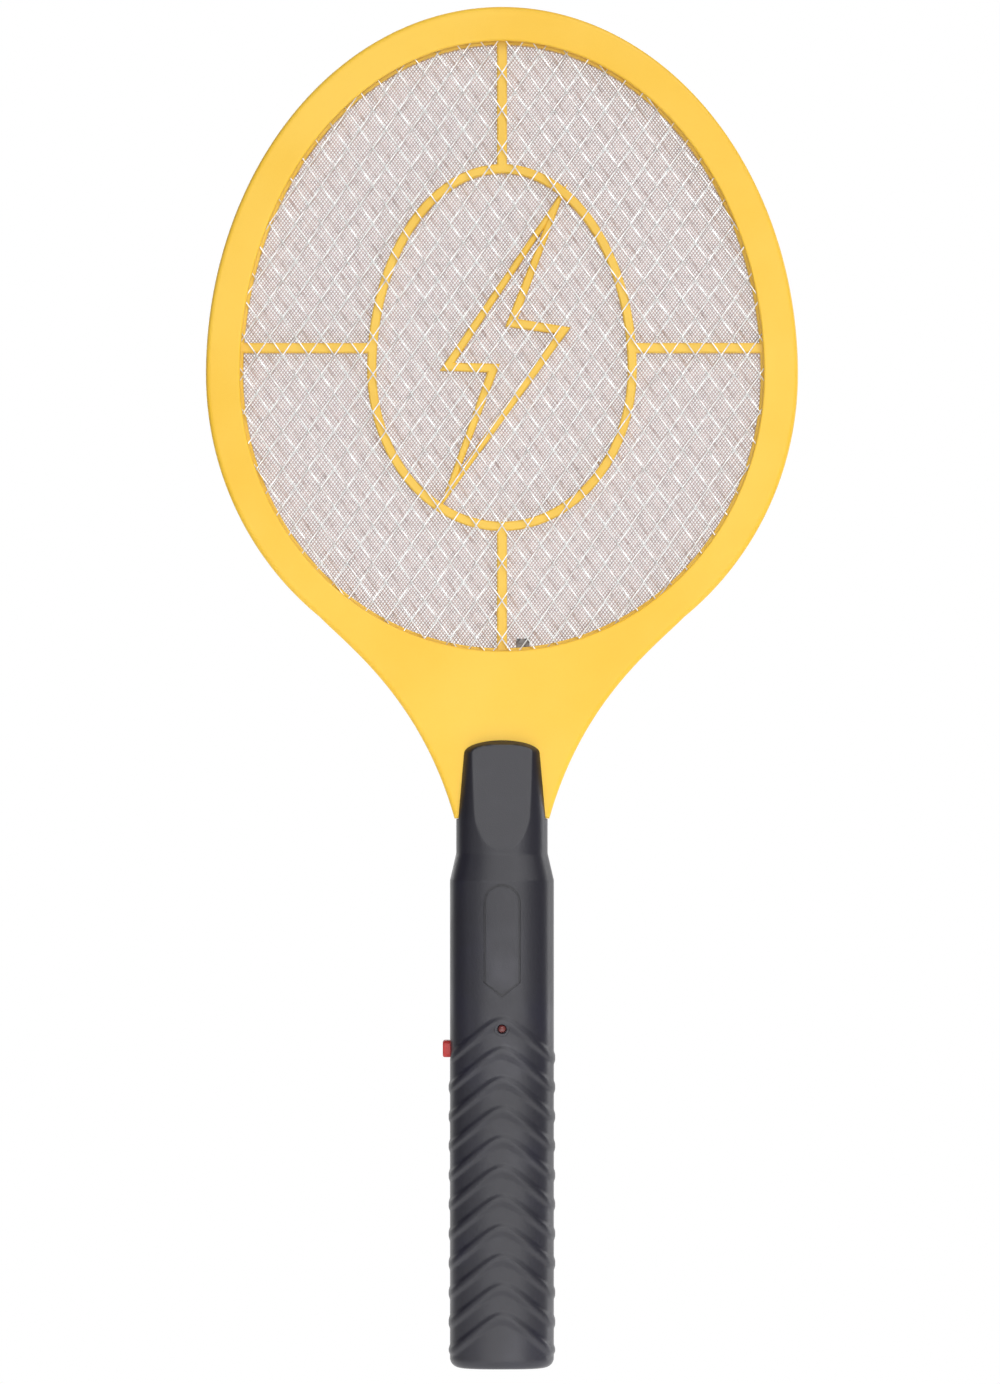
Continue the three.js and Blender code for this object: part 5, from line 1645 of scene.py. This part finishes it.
# %% Floor
FLOOR_RADIUS = 700.0
FLOOR_THICKNESS = 20.0
COVER_TRAVEL = 75.0
FLOOR_ROOM = 5.0
floor_z = float(cad_low[2]) / MM - COVER_TRAVEL - FLOOR_ROOM
floor_rim = [(floor_z - FLOOR_THICKNESS, FLOOR_RADIUS), (floor_z, FLOOR_RADIUS)]
floor = turned("floor", floor_rim, (0, 0), axis="z", sides=96)
floor_finish = Finish("pale_floor")
mottle = floor_finish.noise(0.004, 3.0)
floor.data.materials.append(
    floor_finish.shade(
        Base_Color=floor_finish.mix(mottle, rgb(236, 236, 236), rgb(242, 242, 242)),
        Roughness=0.6,
        Emission_Color=rgb(255, 255, 255),
        Emission_Strength=0.75,
    )
)
print("floor radius in metres:", FLOOR_RADIUS * MM)

# %% [markdown]
# ## The room
# A dark satin surface shows the room more than its own colour. So the room is bright behind the
# swatter, a little less dark in front and dim at the sides, and those dim sides are what draws
# the handle's roundness. The camera itself sees plain white everywhere.

# %% World
ROOM_DIM, ROOM_BEHIND, ROOM_AHEAD = 0.1, 0.9, 0.2
world = bpy.data.worlds.new("soft_room")
world.use_nodes = True
scene.world = world
room = Bench(world.node_tree)
world.node_tree.nodes.clear()
direction = room.node("ShaderNodeTexCoord", out=0)
forwards = room.node("ShaderNodeSeparateXYZ", sockets={0: direction}, out=1)
behind_ends = {"Value": forwards, "From Min": 0.35, "From Max": 0.85}
ahead_ends = {"Value": 0.0 - forwards, "From Min": 0.45, "From Max": 1.0}
behind = room.node("ShaderNodeMapRange", SMOOTH_STEP, behind_ends)
ahead = room.node("ShaderNodeMapRange", SMOOTH_STEP, ahead_ends)
brightness = ROOM_DIM + behind * ROOM_BEHIND + ahead * ROOM_AHEAD
white = (1.0, 1.0, 1.0, 1.0)
room_light = room.node("ShaderNodeBackground", sockets={"Color": white, "Strength": brightness})
backdrop = room.node("ShaderNodeBackground", sockets={"Color": white, "Strength": 1.0})
seen = room.node("ShaderNodeLightPath", out=0)
shown = room.node("ShaderNodeMixShader", sockets={0: seen, 1: room_light, 2: backdrop})
outlet = world.node_tree.nodes.new("ShaderNodeOutputWorld")
world.node_tree.links.new(shown.socket, outlet.inputs["Surface"])
print("the room is white to the camera and grey to the object")

# %% [markdown]
# ## Soft lights
# Large panels give soft edges to every shade. The front one lights the nets and the flat front
# of the handle, and the one from the upper right picks out the grip's ridges. A weak fill on
# the left, a panel on the right and one behind keep the other sides readable.

# %% Light panels
AIM = Vector((0.0, 0.0, 0.25))


def soft_light(name, place, size, power):
    """A rectangular panel of light that faces the swatter."""
    data = bpy.data.lights.new(name, "AREA")
    data.shape = "RECTANGLE"
    data.size, data.size_y = size
    data.energy = power
    panel = bpy.data.objects.new(name, data)
    panel.location = place
    panel.rotation_euler = (AIM - Vector(place)).to_track_quat("-Z", "Y").to_euler()
    panel.visible_camera = False
    scene.collection.objects.link(panel)


soft_light("front_panel", (0.15, -2.3, 0.5), (0.9, 1.6), 16.0)
soft_light("top_panel", (0.95, -1.5, 2.0), (1.2, 1.0), 30.0)
soft_light("left_fill", (-1.5, -1.6, 0.7), (0.9, 1.6), 2.0)
soft_light("right_panel", (2.0, 0.9, 0.5), (0.8, 1.6), 12.0)
soft_light("rear_panel", (-0.7, 2.2, 1.1), (1.2, 1.6), 10.0)
scene.view_settings.view_transform = "Standard"
